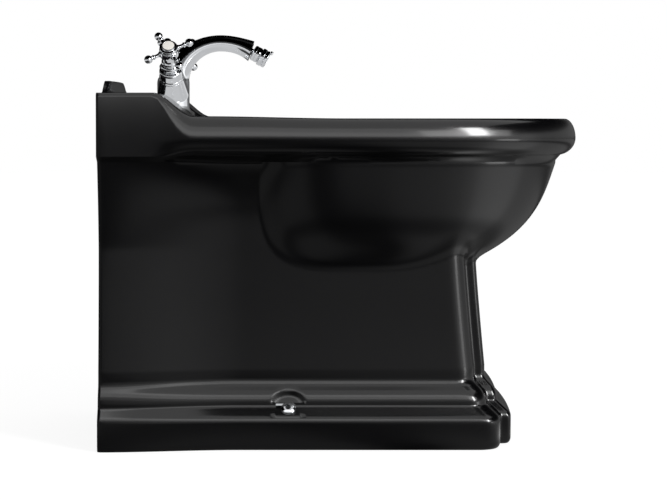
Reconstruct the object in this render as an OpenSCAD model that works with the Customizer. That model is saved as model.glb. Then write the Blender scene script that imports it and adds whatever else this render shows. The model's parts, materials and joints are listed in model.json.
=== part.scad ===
// Floor standing bidet: one-piece glazed ceramic body against a wall, single hole mixer with
// two cross handles, a swivelling nozzle, a pop-up waste worked by a lift rod, floor fixings.
// x is measured from the wall while drawing; the finished part stands centred on its origin.

/* [Ceramic body] */
// Depth from the wall to the nose of the rim
depth = 590; // [570:1:620]
// Overall width of the rim
rim_w = 385; // [375:1:400]
// Width of the rim where it meets the wall
rear_w = 344; // [340:1:352]
// Height of the rim above the floor
rim_h = 398.4; // [394:0.2:420]
// Distance from the wall to the widest place of the rim
wide_x = 340; // [330:1:350]
// Width of the pedestal at its waist
waist_w = 239; // [233:1:245]
// Thickness of the ceramic walls
wall_t = 12; // [11:0.5:14]
// How far the plinth stands out from the shaft
plinth_out = 30.5; // [29:0.5:32]
// Height of the plinth's upright face
plinth_z = 34.4; // [33.4:0.2:35.4]
// Height of the raised wings beside the tap
wing_h = 28; // [20:1:36]
// Height of the lip along the wall, above the wings
lip_h = 16; // [8:1:22]

/* [Basin] */
// Distance from the wall to the drain
basin_x = 325; // [318:1:332]
// Height of the basin floor at the drain
basin_floor = 246; // [240:1:256]
// Half width of the basin's mouth
basin_half = 154.5; // [148:0.5:158]

/* [Tap] */
// Distance from the wall to the tap's axis
tap_x = 78; // [76:0.5:80]
// Radius of the tap's column
column_r = 20.6; // [20:0.1:22]
// Tilt of each valve away from upright
valve_tilt = 50; // [46:1:54]
// Distance along the valve axis to the middle of the cross
cross_w = 84.9; // [82:0.5:90]
// Distance from the middle of the cross to each ball
arm_reach = 28.3; // [24:0.1:32]
// Radius of the balls on the cross arms
ball_r = 5.2; // [4:0.1:6]
// Radius of the swan neck's arc
neck_arc = 60; // [58:0.5:62]

/* [Nozzle] */
// Slope of the nozzle below the horizontal
nozzle_slope = 29; // [25:1:33]
// Radius of the ball that the nozzle turns on
swivel_r = 7.5; // [7:0.1:7.8]
// Outer radius of the nozzle's first collar
collar_r = 10; // [9.9:0.1:10.8]
// Outer radius of the nozzle's end ring
ring_r = 11.5; // [11:0.1:12.5]

/* [Waste] */
// Radius of the hole for the waste
waste_hole_r = 23; // [22.5:0.1:24]
// Radius of the waste's flange
flange_r = 31.5; // [30:0.1:33]
// Outside radius of the tail pipe
tail_r = 16; // [15:0.1:16]
// Travel of the lift rod
lift_travel = 36; // [20:1:38]
// Radius of the lift rod
rod_r = 2.5; // [2:0.05:2.6]

/* [Floor fixing] */
// Distance from the wall to the fixing screws
fixing_x = 228; // [215:1:240]
// Slope of the fixing screws below the horizontal
fixing_slope = 41; // [38:1:44]
// Radius of the fixing screws
screw_r = 3; // [2.5:0.1:3.5]
// Radius of the covers on the screws
cover_r = 9; // [8:0.1:10]

/* [Hidden] */

// clearances
run_fit = 0.05; // a turning or sliding fit
still_fit = 0.1; // a fixed piece in its hole

// pedestal: waist, foot and mouldings
waist_z = 240;
base_z = 92;
cove_z = 352;
foot_flare_side = 7;
foot_flare_front = 12;
top_flare = 26;
block_x = 442;
bow_x = 457.5;
bow_crown = 3.5;
bow_half = 80;
corner_r = 22;
foot_in = 5;
foot_up = 9;
shoulder_r = 8;
torus_foot_out = 15.2;
torus_in = 12.4;
torus_up = 15;
cavetto_out = 6;
cavetto_z = 72;

// the pedestal widens again towards the wall
wall_waist = 149;
wall_foot = 172;
wall_head = 163;
wall_run = 170;

// rim roll, as an oval section
roll_up = 24.4;
roll_down = 21.5;
roll_in_up = 14;
roll_in_down = 24;
wing_round = 5;
roll_z = rim_h - roll_up;
plan_power = 2.2;
rear_rise = 2.6;

// belly of the bowl under the rim
belly_z = 343;
belly_in = 25;
belly_mid = 300;
belly_rear = 130;
belly_power = 2.6;
belly_span = 111;
belly_curl = 44.6;
belly_rake = 0.33;
belly_side_share = 0.52;

// basin
basin_rear = 191;
basin_front = 227;
basin_power = 2.4;
basin_fall = 14;
basin_steep = 8;
edge_drop = 3;
under_t = 14;
deck_under = rim_h - under_t;
drain_under = basin_floor - under_t;

// open back for the pipes
back_w = 190;
back_h = 325;

function clamp01(t) = min(max(t, 0), 1);
function ease(t) = let(u = clamp01(t)) u * u * (3 - 2 * u);
function lerp(a, b, t) = a + (b - a) * t;

// the larger of two reaches, with a hollow of size k where they meet
function blend_max(a, b, k) = let(h = max(k - abs(a - b), 0) / k) max(a, b) + h * h * k / 4;
function oval_reach(v, a, b, p) = 1 / pow(pow(abs(v.x) / a, p) + pow(abs(v.y) / b, p), 1 / p);

// half widths and fronts of the shaft at height z
function flare(z, low, high) =
    low * pow(max(waist_z - max(z, base_z), 0) / (waist_z - base_z), 1.2)
    + high * pow(clamp01((z - waist_z) / (cove_z - waist_z)), 4);
function shaft_half(z) = waist_w / 2 + flare(z, foot_flare_side, top_flare);
function block_front(z) = block_x + flare(z, foot_flare_front, 0);
function bow_front(z) = bow_x + flare(z, foot_flare_front, 0);

// the belly narrows downwards from the rim
function belly_drop(z) = max(belly_z - z, 0);
function belly_shrink(z) = belly_rake * belly_drop(z) + belly_curl * pow(belly_drop(z) / belly_span, 3.4);
function belly_nose(z) = depth - belly_in - belly_shrink(z);
function belly_half(z) = max(rim_w / 2 - belly_in - belly_side_share * belly_shrink(z), 1);
function belly_side(x, z) = belly_half(z)
    * pow(1 - pow(clamp01((belly_mid - x) / belly_rear), belly_power), 1 / belly_power);

// half width of the pedestal at the wall, and at x with its mouldings standing out by m
function wall_half(z) = z < waist_z ? lerp(wall_foot, wall_waist, z / waist_z)
    : lerp(wall_waist, wall_head, pow(clamp01((z - waist_z) / (cove_z - waist_z)), 1.5));
function side_half(x, z, m, thin) = lerp(wall_half(z) - thin, shaft_half(z) + m, ease(x / wall_run));

// half width of the rim's plan, drawn in by d
function rim_side(x, d) = lerp(rear_w / 2, rim_w / 2, ease(x / wide_x)) - d;

// top of the ceramic: rim crest, wings beside the tap and lip along the wall
recess_half = 46;
recess_fade = 26;
wing_start = 68;
wing_run = 48;
niche_start = 26;
niche_run = 24;
lip_t = 9;
lip_run = 6.5;
lip_half = 75;
lip_fade = 40;
function rim_crest(x) = rim_h + rear_rise * (1 - ease((x - 130) / 170));
function wing_share(x, y) =
    let(side = ease((abs(y) - recess_half) / recess_fade))
    1 - ease((x - lerp(niche_start, wing_start, side)) / lerp(niche_run, wing_run, side));
function lip_share(x, y) =
    let(edge = lip_t * (1 - pow(min(abs(y) / (lip_half + lip_fade), 1), 2)))
    (1 - ease((x - edge) / lip_run)) * (1 - ease((abs(y) - lip_half) / lip_fade));
function top_z(p) =
    rim_crest(p.x) + wing_h * wing_share(p.x, p.y) + lip_h * lip_share(p.x, p.y);

// places along the outline: shares of the rear edge, then distances from the wall
rear_share = [0, 0.2, 0.42, 0.58, 0.66, 0.85];
side_x = [5, 20, 40, 62, 72, 82, 92, 102, 112, 124, 145, 165, 182, 197, 212, 228, 248, 275, 305];

// front of the pedestal: side block with rounded corner, notch, middle bow, offset outward by m
function front_points(z, m) =
    let(w = shaft_half(z) + m, f = block_front(z) + m, b = bow_half + m, x = bow_front(z) + m)
    concat(
        [for (t = [0, 0.4, 0.75]) [lerp(wide_x, f - corner_r, t), w]],
        [for (a = [0:30:90]) [f - corner_r * (1 - sin(a)), w - corner_r * (1 - cos(a))]],
        [[f, b + 6], [f + 1.7, b + 1.7], [f + 5, b], [x - 1.7, b - 1.7], [x, b - 6]],
        [for (t = [0.7, 0.45, 0.2, 0]) [x + bow_crown * (1 - t * t), t * b]]);

// half of the outline at height z: the shaft offset by m, joined with the rim drawn in by d,
// or by e on the face of the wings; thin draws in the end at the wall
function outline(z, m, d, e, thin = 0) =
    let(rear = blend_max(wall_half(z) - thin, rear_w / 2 - e, 8))
    let(nose = max(belly_nose(z) - wide_x, 1), rim_nose = max(depth - d - wide_x, 1))
    concat(
        [for (t = rear_share) [0, t * rear]],
        [[0, rear - 5], [1.5, rear - 1.5]],
        [for (x = side_x) let(rim = rim_side(x, lerp(d, e, wing_share(x, rear_w / 2))))
            [x, blend_max(blend_max(side_half(x, z, m, thin), belly_side(x, z), 14), rim, 8)]],
        [for (p = front_points(z, m))
            let(v = [p.x - wide_x, p.y], own = norm(v), u = v / own)
            let(belly = z > base_z ? oval_reach(u, nose, belly_half(z), plan_power) : 0)
            let(rim = oval_reach(u, rim_nose, max(rim_w / 2 - d, 1), plan_power))
            [wide_x, 0] + u * blend_max(blend_max(own, belly, 14), rim, 8)]);
function no_rim(z, m, thin = 0) = outline(z, m, depth, depth, thin);

// rings of the outer skin, from the floor up, as [height, offset]
slope_top = plinth_z + shoulder_r * sin(45) + plinth_out - shoulder_r * (1 - cos(45)) - torus_foot_out;
foot = [for (a = [0, 30, 60, 90]) [foot_up * (1 - cos(a)), plinth_out - foot_in * (1 - sin(a))]];
shoulder = [for (a = [0, 22, 45]) [plinth_z + shoulder_r * sin(a), plinth_out - shoulder_r * (1 - cos(a))]];
torus = [for (a = [0, 20, 45, 65])
    [slope_top + torus_up * sin(a), torus_foot_out - torus_in * (1 - cos(a))]];
cavetto = [for (a = [0, 30, 60, 90])
    [lerp(cavetto_z, base_z, 1 - cos(a)), cavetto_out * (1 - sin(a))]];
shaft = [for (z = [150, 207, 222, 232, 242, 256, 272, 292, 315, 335, 346]) [z, 0]];
roll_low = [for (a = [78, 55, 30, 0]) [roll_z - roll_down * sin(a), roll_in_down * (1 - cos(a))]];
function level(points, z) = [for (p = points) [p.x, p.y, z]];

// the upper half of the roll passes into the upright face of the wings towards the wall
function roll_high(a) = [for (p = outline(roll_z, 0, roll_in_up * (1 - cos(a)), wing_round * (1 - cos(a))))
    let(top = top_z(p))
    [p.x, p.y, lerp(lerp(roll_z, top, sin(a)), top - wing_round * (1 - sin(a)),
        wing_share(p.x, rear_w / 2))]];
crest = outline(roll_z, 0, roll_in_up, wing_round);
skin_rings = concat(
    [for (r = concat(foot, shoulder, torus, cavetto, shaft)) level(no_rim(r[0], r[1]), r[0])],
    [for (r = roll_low) level(outline(r[0], 0, r[1], 0), r[0])],
    [for (a = [30, 55, 75]) roll_high(a)]);

// the basin: s is 0 at the drain and 1 at the mouth
edge_z = rim_h - edge_drop;
function basin_share(p) =
    let(dx = p.x - basin_x)
    1 / oval_reach([dx, p.y], dx > 0 ? basin_front : basin_rear, basin_half, basin_power);
function basin_point(p, s) = [basin_x, 0] + ([p.x, p.y] - [basin_x, 0]) * s / basin_share(p);
function bowl(s) =
    basin_floor + basin_fall * s + (edge_z - basin_floor - basin_fall) * pow(s, basin_steep);

// rings over the top, t from the crest to the basin's mouth, and on down the basin
function plate(t) = [for (p = crest)
    let(q = lerp([p.x, p.y], basin_point(p, 1), t))
    [q.x, q.y, top_z(q) - edge_drop * ease((t - 0.8) / 0.2)]];
top_rings = [for (t = [0, 0.055, 0.105, 0.17, 0.26, 0.36, 0.48, 0.6, 0.72, 0.86, 0.95, 1]) plate(t)];
basin_rings = [for (s = [0.985, 0.95, 0.9, 0.83, 0.72, 0.5, 0.25])
    [for (p = crest) let(q = basin_point(p, s)) [q.x, q.y, bowl(s)]]];

// rings of the hollow: under the basin and the deck, then down inside the walls
hollow_top = 215;
foot_hollow = plinth_out - under_t - 2;
function hollow(z, m) = [for (p = no_rim(z, m, wall_t)) [max(p.x, wall_t), p.y]];
function ceiling(share) = [for (p = hollow(hollow_top, -wall_t))
    let(v = [p.x - basin_x, p.y], far = norm(v), mouth = far / basin_share(p))
    let(near = min(far - 6, mouth + wall_t), r = share > 1 ? far : near * share)
    let(z = bowl(clamp01((r - wall_t) / mouth)) - under_t)
    [basin_x + v.x * r / far, v.y * r / far, share > 1 && near > mouth ? deck_under : z]];
hollow_rings = concat(
    [for (share = [0.2, 0.4, 0.58, 0.72, 0.82, 0.88, 0.92, 0.95, 0.975, 1, 2]) ceiling(share)],
    [for (r = [[hollow_top, -wall_t], [base_z, -wall_t], [cavetto_z, 4 - wall_t], [plinth_z, foot_hollow],
        [0, foot_hollow]]) level(hollow(r[0], r[1]), r[0])]);

// a half outline and its mirror image, as one closed ring
function whole(half) = concat(half, [for (i = [len(half) - 2:-1:1]) [half[i].x, -half[i].y, half[i].z]]);

module ceramic_shell() {
    outside = concat(skin_rings, top_rings, basin_rings);
    rings = [for (r = concat(outside, hollow_rings)) whole(r)];
    n = len(rings[0]);
    m = len(rings);
    last = len(outside) - 1;
    points = concat([for (r = rings) each r],
        [[basin_x, 0, basin_floor], [basin_x, 0, drain_under]]);
    walls = [for (k = [0:m - 1], i = [0:n - 1]) if (k != last)
        let(up = (k + 1) % m, next = (i + 1) % n)
        each [[k * n + i, k * n + next, up * n + next], [k * n + i, up * n + next, up * n + i]]];
    drain = [for (i = [0:n - 1]) [last * n + i, last * n + (i + 1) % n, m * n]];
    roof = [for (i = [0:n - 1]) [(last + 1) * n + (i + 1) % n, (last + 1) * n + i, m * n + 1]];
    polyhedron(points, concat(walls, drain, roof));
}

// places on the ceramic that other pieces use
deck_z = rim_h + rear_rise - 0.5;
tap_hole_r = 17.5;
seat_r = 27;
recess_r = flange_r + 1.5;
pocket_r = 22;
pocket_flare = 16;
pocket_y = 146.7;
pocket_z = 48.5;
sleeve_r = 6;

module at_tap() translate([tap_x, 0, 0]) children();
module at_drain() translate([basin_x, 0, 0]) children();
// both fixing screws: z points up and outward along the screw, from the floor of its pocket
module at_fixings()
    for (side = [0, 1]) mirror([0, side, 0]) translate([fixing_x, -pocket_y, pocket_z])
        rotate([90 - fixing_slope, 0, 0]) children();
module tube(outer, inner, low, high, sides = 64)
    translate([0, 0, low]) difference() {
        cylinder(r = outer, h = high - low, $fn = sides);
        translate([0, 0, -1]) cylinder(r = inner, h = high - low + 2, $fn = sides);
    }
module rod(r, low, high, sides = 48) translate([0, 0, low]) cylinder(r = r, h = high - low, $fn = sides);

module ceramic_body() color("#141415") difference() {
    ceramic_shell();
    at_tap() {
        rod(tap_hole_r, deck_under - 30, deck_z + 30);
        rod(seat_r, deck_z, deck_z + 20);
        rod(seat_r + 1, deck_under - 60, deck_under);
    }
    at_drain() {
        rod(waste_hole_r, drain_under - 10, basin_floor + 20);
        rod(recess_r, basin_floor, basin_floor + 20);
        rod(recess_r + 3, drain_under - 20, drain_under);
    }
    at_fixings() {
        cylinder(r1 = pocket_r, r2 = pocket_r + pocket_flare, h = 50, $fn = 64);
        rod(sleeve_r + still_fit, -40, 1);
    }
    translate([-5, -back_w / 2, -5]) cube([wall_t + 15, back_w, back_h + 5]);
}

// ---- tap ----
gasket_t = 1.5;
base_r = 25;
tap_z = deck_z + gasket_t;
column_top = tap_z + 50;
valve_z = tap_z + 25.6;
branch_r = 20;
branch_top_r = 15.2;
branch_w = 36;
valve_r = 9;
stud_x = 10;
stud_r = 4;
inlet_x = -1;
inlet_y = 9.5;
inlet_r = 4.5;
rod_x = -7.5;
spigot_r = tap_hole_r - 1;
// centre of the swan neck's arc, from the tap's axis
neck_x = neck_arc + 0.5;
neck_z = tap_z + 32.5;
neck_foot = 72;
neck_end = 29;
neck_end_tilt = 18;
neck_front_arc = 80;
neck_low_r = 17.5;
neck_mid_r = 10.4;
neck_mouth_r = 13.4;
water_r = 6;

// places along the valve axis, from where it crosses the tap's axis
bonnet_w = 64;
skirt_w = bonnet_w + 0.5;
bore_w = 50;
valve_low = 14;

module on_valve(side) at_tap() translate([0, 0, valve_z]) rotate([-side * valve_tilt, 0, 0]) children();

module base_gasket() color("#222222") at_tap() tube(base_r - 1, tap_hole_r, deck_z, tap_z);

module tap_body() color("#c8c8cc") difference() {
    union() {
        at_tap() {
            rod(spigot_r, deck_z - 5, tap_z + 1);
            rotate_extrude($fn = 96) polygon(concat(
                [[0, tap_z], [base_r, tap_z], [base_r, tap_z + 2]],
                [for (a = [15:15:90]) [base_r - (base_r - column_r) * sin(a), tap_z + 14 - 12 * cos(a)]],
                [for (a = [0:15:60]) [column_r - 4 + 4 * cos(a), column_top - 8 + 8 * sin(a)]],
                [[0, column_top + 4]]));
        }
        for (side = [-1, 1]) on_valve(side) {
            translate([0, 0, 7]) sphere(r = branch_r, $fn = 64);
            translate([0, 0, 8]) cylinder(r1 = branch_r - 0.2, r2 = branch_top_r, h = branch_w - 8, $fn = 64);
        }
    }
    // the swan neck stands on this sloping cut
    translate(neck_centre(-neck_foot)) rotate([0, 90 - neck_foot, 0])
        translate([-60, -60, 0]) cube(120);
    at_tap() {
        translate([neck_x - neck_arc * sin(neck_foot), 0, 0]) rod(water_r, tap_z + 20, column_top + 20);
        translate([rod_x, 0, 0]) rod(rod_r + run_fit, deck_z - 10, column_top + 20);
        translate([stud_x, 0, 0]) rod(stud_r, deck_z - 10, tap_z + 16);
        for (side = [-1, 1]) translate([inlet_x, side * inlet_y, 0]) rod(inlet_r, deck_z - 10, tap_z + 18);
    }
    for (side = [-1, 1]) on_valve(side) rod(valve_r, valve_low, branch_w + 5);
}

// centre, tilt and radius of the swan neck at angle a from the top of its arc
function neck_centre(a) =
    let(r = a > 0 ? neck_front_arc : neck_arc, top = neck_z + neck_arc)
    [tap_x + neck_x + r * sin(a), 0, top - r + r * cos(a)];
function neck_tilt(a) = a > 0 ? a * neck_end_tilt / neck_end : a;
function neck_radius(a) = a > 0
    ? lerp(neck_mid_r, neck_mouth_r, pow(a / neck_end, 3))
    : lerp(neck_mid_r, neck_low_r, pow(-a / neck_foot, 1.8));
neck_sides = 32;
neck_angles = concat([for (a = [-neck_foot:8:-8]) a], [0, 7, 13, 18, 22, 26, neck_end]);
function neck_ring(a, r) = [for (i = [0:neck_sides - 1])
    let(b = 360 * i / neck_sides, t = neck_tilt(a), u = r * cos(b))
    neck_centre(a) + [u * sin(t), r * sin(b), u * cos(t)]];

module spout() color("#c8c8cc") difference() {
    rings = concat([for (a = neck_angles) neck_ring(a, neck_radius(a))],
        [for (i = [len(neck_angles) - 1:-1:0]) neck_ring(neck_angles[i], water_r)]);
    n = neck_sides;
    m = len(rings);
    polyhedron([for (r = rings) each r], [for (k = [0:m - 1], i = [0:n - 1])
        let(up = (k + 1) % m, next = (i + 1) % n)
        each [[k * n + i, k * n + next, up * n + next], [k * n + i, up * n + next, up * n + i]]]);
    at_nozzle() rod(nipple_r + still_fit, -12, 20);
    translate([tap_x + rod_x, 0, 0]) rod(rod_r + run_fit, column_top - 20, column_top + 60);
}

// fixing under the deck
washer_r = 25;
rubber_t = 3;
plate_t = 2;
nut_t = 7;
plate_z = deck_under - rubber_t - plate_t;
module horseshoe(low, high) at_tap() difference() {
    rod(washer_r, low, high);
    translate([-washer_r - 1, -tap_hole_r + 1, low - 1])
        cube([washer_r + stud_x - stud_r - 0.5, 2 * tap_hole_r - 2, high - low + 2]);
    translate([stud_x, 0, 0]) rod(stud_r + still_fit, low - 1, high + 1);
}
module fixing_rubber() color("#222222") horseshoe(deck_under - rubber_t, deck_under);
module fixing_plate() color("#b0b2b5") horseshoe(plate_z, deck_under - rubber_t);
module fixing_stud() color("#c9a84e") at_tap() translate([stud_x, 0, 0])
    rod(stud_r - still_fit, plate_z - 30, tap_z + 15);
module fixing_nut() color("#c9a84e") at_tap() translate([stud_x, 0, 0]) difference() {
    translate([0, 0, plate_z - nut_t]) cylinder(r = 7.5, h = nut_t, $fn = 6);
    rod(stud_r, plate_z - nut_t - 1, plate_z + 1);
}

// valves, bonnets, spindles and cross handles
spindle_r = 4;
bezel_w = cross_w + 9.5;
disc_r = 7.2;
hub_r = 11.8;
module valve(side) color("#c9a84e") on_valve(side) difference() {
    rod(valve_r - still_fit, valve_low + 1, bore_w - still_fit);
    rod(spindle_r + run_fit, bore_w - 22, bore_w + 1);
}
module bonnet(side) color("#c8c8cc") on_valve(side) difference() {
    rotate_extrude($fn = 72) polygon(concat(
        [[0, branch_w], [15.4, branch_w], [15.4, branch_w + 3], [14.6, branch_w + 4], [14.6, 48]],
        [for (a = [0:30:90]) [11 + 3.6 * cos(a), 48 + 4.5 * sin(a)]],
        [[10.4, 52.5], [10.4, 54.5]],
        [for (a = [-60:30:60]) [9.4 + 2.4 * cos(a), 58 + 3.6 * sin(a)]],
        [[9, 61.8], [9, bonnet_w], [0, bonnet_w]]));
    rod(valve_r, branch_w - 1, bore_w);
    rod(spindle_r + run_fit, bore_w - 1, bonnet_w + 1);
}
module spindle(side) color("#c9a84e") on_valve(side) rod(spindle_r, bore_w - 20, cross_w + 3);
module cross_arm() rotate([0, 90, 0]) rotate_extrude($fn = 36) polygon(concat(
    [[0, 8], [3.8, 8], [3.8, 12.6], [3, 13.4], [2.3, 15], [2.1, arm_reach - 9], [3.2, arm_reach - 7.6],
        [3.2, arm_reach - 6.6], [2.4, arm_reach - 6]],
    [for (a = [30:15:180]) [ball_r * sin(a), arm_reach - ball_r * cos(a)]]));
module handle(side, turn) color("#c8c8cc") on_valve(side) difference() {
    union() {
        rotate_extrude($fn = 72) polygon([[0, skirt_w], [10.2, skirt_w], [10.6, skirt_w + 1.5],
            [10, skirt_w + 3.5], [8.6, skirt_w + 5], [8, cross_w - 13], [8.4, cross_w - 9],
            [10, cross_w - 6.6], [hub_r, cross_w - 5.8], [hub_r, cross_w + 3], [hub_r - 1, cross_w + 3.6],
            [hub_r - 1, cross_w + 5], [hub_r - 0.4, cross_w + 5.8], [hub_r - 0.8, cross_w + 7.6],
            [disc_r + 1.3, cross_w + 8.4], [disc_r + 1.3, bezel_w + 1], [0, bezel_w + 1]]);
        for (k = [0:3]) rotate(turn + 90 * k) translate([0, 0, cross_w]) cross_arm();
    }
    rod(disc_r + still_fit, bezel_w - 1, bezel_w + 2);
    rod(spindle_r + still_fit, skirt_w - 1, cross_w + 3.1);
    rod(2, cross_w, bezel_w);
    rod(3.5 + still_fit, cross_w + 6, bezel_w);
}
module handle_screw(side) color("#b0b2b5") on_valve(side) {
    rod(1.9, cross_w + 3.2, cross_w + 7);
    rod(3.5, cross_w + 6.2, cross_w + 8.3);
}
module index_disc(side) color("#f2efe8") on_valve(side) rotate_extrude($fn = 64) polygon(
    [[0, bezel_w - 0.9], [disc_r, bezel_w - 0.9], [disc_r, bezel_w + 1], [disc_r - 1, bezel_w + 1.5], [0, bezel_w + 1.8]]);

// ---- nozzle: z points out of the spout ----
nipple_r = 9.4;
swivel_w = 8;
collar_end = 13;
ring_end = 23.5;
module at_nozzle() translate(neck_centre(neck_end)) rotate([0, 90 + nozzle_slope, 0]) children();
module ball_nipple() color("#b9babd") at_nozzle() difference() {
    union() {
        rod(nipple_r, -10, -1);
        rod(4, -2, swivel_w - 2);
        translate([0, 0, swivel_w]) sphere(r = swivel_r, $fn = 64);
    }
    rod(2.4, -11, swivel_w + swivel_r + 1);
}
seat_out = swivel_r + 1;
module ball_seat() color("#eceae4") at_nozzle() difference() {
    translate([0, 0, swivel_w]) sphere(r = seat_out, $fn = 64);
    translate([0, 0, swivel_w]) sphere(r = swivel_r + run_fit, $fn = 64);
    rod(seat_out + 1, swivel_w - seat_out - 1, swivel_w - 3);
    rod(seat_out + 1, swivel_w + 3, swivel_w + seat_out + 1);
}
module nozzle_collar() color("#c8c8cc") at_nozzle() difference() {
    rotate_extrude($fn = 72) polygon([[0, 2.6], [8.4, 2.6], [collar_r - 0.5, 3.2], [collar_r, 4.2],
        [collar_r, collar_end - 1.4], [collar_r - 0.8, collar_end - 0.8], [collar_r - 0.8, collar_end], [0, collar_end]]);
    translate([0, 0, swivel_w]) sphere(r = seat_out + run_fit, $fn = 64);
    rod(6.9, 0, swivel_w);
    rod(7.6, swivel_w, collar_end + 1);
}
module nozzle_ring() color("#c8c8cc") at_nozzle() {
    difference() {
        rotate_extrude($fn = 72) polygon([[0, collar_end], [ring_r - 1, collar_end], [ring_r, collar_end + 1],
            [ring_r, collar_end + 5], [ring_r - 0.9, collar_end + 5.7], [ring_r - 0.9, collar_end + 6.6],
            [ring_r - 0.2, collar_end + 7.2], [ring_r - 0.4, ring_end - 0.6], [ring_r - 1.4, ring_end], [0, ring_end]]);
        rod(7.6, collar_end - 1, ring_end - 2);
        rod(8.7, ring_end - 7, ring_end + 1);
    }
    translate([-ring_r + 1.2, 0, 0]) rod(2.4, ring_end - 1, ring_end + 2.4, 24);
}
module nozzle_screen() color("#b0b2b5") at_nozzle() difference() {
    rod(8.6, ring_end - 6.8, ring_end - 1.2);
    for (k = [0:5]) rotate(60 * k) translate([4.6, 0, 0]) rod(1.5, ring_end - 8, ring_end, 20);
    rod(1.8, ring_end - 8, ring_end);
}

// ---- pop-up waste ----
knob_z = tap_z + 89;
clamp_z = deck_under - lift_travel - 24;
clamp_h = 14;
clamp_out = 5.5;
strap_x = rod_x + clamp_out;
strap_t = 1.5;
strap_w = 7.6;
hole_r = 3.4;
hole_step = 12;
lever_r = 2.5;
lever_z = drain_under - 48;
pivot_x = -34;
pivot_r = 6;
lever_rest = 4.8;
seat_low = lever_z - 50;
tail_step = 0.6;
lever_reach = basin_x + pivot_x - tap_x - strap_x - strap_t / 2;
clip_w = 10;
clip_back = strap_w / 2 + 1.3;
strap_hole_z = lever_z - lever_reach * tan(lever_rest);

module lift_knob() color("#c8c8cc") translate([tap_x + rod_x, 0, 0]) rotate_extrude($fn = 48) polygon(concat(
    [[rod_r, knob_z], [3.4, knob_z], [3.4, knob_z + 1.5], [2.8, knob_z + 2.4]],
    [for (a = [30:15:180]) [4.8 * sin(a), knob_z + 6.2 - 4 * cos(a)]],
    [[0, knob_z + 5], [rod_r, knob_z + 5]]));
module lift_rod() color("#c8c8cc") translate([tap_x + rod_x, 0, 0]) rod(rod_r, clamp_z - 6, knob_z + 5);
module link_strap() color("#b0b2b5") at_tap() difference() {
    union() {
        translate([rod_x - clamp_out, -strap_w / 2, clamp_z]) cube([2 * clamp_out, strap_w, clamp_h]);
        translate([strap_x, -strap_w / 2, strap_hole_z - 2 * hole_step])
            cube([strap_t, strap_w, clamp_z + clamp_h - strap_hole_z + 2 * hole_step]);
    }
    translate([rod_x, 0, 0]) rod(rod_r + still_fit, clamp_z - 1, clamp_z + clamp_h + 1);
    translate([rod_x, 0, clamp_z + clamp_h / 2]) rotate([0, -90, 0]) rod(2.1, 0, 20, 24);
    for (k = [-1:6]) translate([strap_x - 1, 0, strap_hole_z + k * hole_step])
        rotate([0, 90, 0]) rod(hole_r, 0, 4, 24);
}
module strap_screw() color("#c9a84e") at_tap() translate([rod_x, 0, clamp_z + clamp_h / 2])
    rotate([0, -90, 0]) {
        rod(2, rod_r + still_fit, clamp_out + 3, 24);
        rod(5, clamp_out + 2, clamp_out + 7, 36);
    }
module on_lever() at_drain() translate([pivot_x, 0, lever_z]) rotate([0, -90 + -lever_rest, 0]) children();
module lever_rod() color("#b0b2b5") on_lever() {
    rod(lever_r, -40, lever_reach + 22);
    sphere(r = pivot_r, $fn = 48);
}
module lever_clip() color("#b0b2b5") on_lever() difference() {
    translate([-clip_w / 2, -clip_back, lever_reach - clip_w * 0.8]) cube([clip_w, clip_back + 6.5, clip_w * 1.6]);
    translate([-clip_w, 0.8 - clip_back, lever_reach - clip_w * 0.8 + 1]) cube([2 * clip_w, 20, clip_w * 1.6 - 2]);
    rod(lever_r + still_fit, lever_reach - 20, lever_reach + 20);
}
port_r = 10;
module on_port() at_drain() translate([pivot_x, 0, lever_z]) rotate([0, -90, 0]) children();
module lever_seat() color("#eceae4") on_port() difference() {
    rod(port_r - 2.6, -6.5, 0);
    sphere(r = pivot_r + run_fit, $fn = 48);
    rod(4, -8, 1);
}
module lever_nut() color("#b0b2b5") on_port() difference() {
    union() {
        rod(port_r + 2.5, -9, 7.5);
        translate([0, 0, -9]) cylinder(r = port_r + 4, h = 8, $fn = 6);
    }
    rod(port_r + still_fit, -10, 0.1);
    sphere(r = pivot_r + 0.4, $fn = 48);
    rod(4.2, 0, 9);
}

flange_z = basin_floor + 1.5;
seat_z = flange_z + 0.8;
neck_r = waste_hole_r - 0.6;
tube_r = 19;
neck_low = drain_under - 28;
cone_h = 10;
socket_top = seat_low + 14;
tail_low = seat_low - 55;
throat_r = 18;
body_top = basin_floor - 10;
module flange_gasket() color("#222222") at_drain() tube(flange_r - 1.5, waste_hole_r, basin_floor, flange_z);
module waste_flange() color("#c8c8cc") at_drain() difference() {
    rotate_extrude($fn = 96) polygon([[0, body_top], [neck_r, body_top], [neck_r, flange_z], [flange_r, flange_z],
        [flange_r, flange_z + 1], [flange_r - 2.5, flange_z + 2.4], [plug_r + 3, seat_z + 0.6], [plug_r + 1, seat_z], [0, seat_z]]);
    rod(throat_r, body_top - 1, flange_z + 5);
}
module waste_body() color("#c8c8cc") at_drain() difference() {
    union() {
        rod(neck_r, neck_low, body_top);
        translate([0, 0, neck_low - cone_h]) cylinder(r1 = tube_r, r2 = neck_r, h = cone_h + 0.1, $fn = 64);
        rod(tube_r, seat_low, neck_low - cone_h + 0.1);
        translate([0, 0, lever_z]) rotate([0, -90, 0]) rod(port_r, 0, -pivot_x);
    }
    rod(throat_r, lever_z + 10, body_top + 1);
    rod(tail_r - 1.7, seat_low - 1, lever_z + 11);
    rod(tail_r - tail_step + still_fit, seat_low - 1, socket_top);
    translate([0, 0, lever_z]) rotate([0, -90, 0]) rod(port_r - 2.5, 0, -pivot_x + 1);
}
washer_t = 4;
nut_top = drain_under - washer_t;
nut_rim = 3;
nut_h = 9;
module under_gasket() color("#222222") at_drain() tube(flange_r, neck_r + still_fit, nut_top, drain_under);
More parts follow.
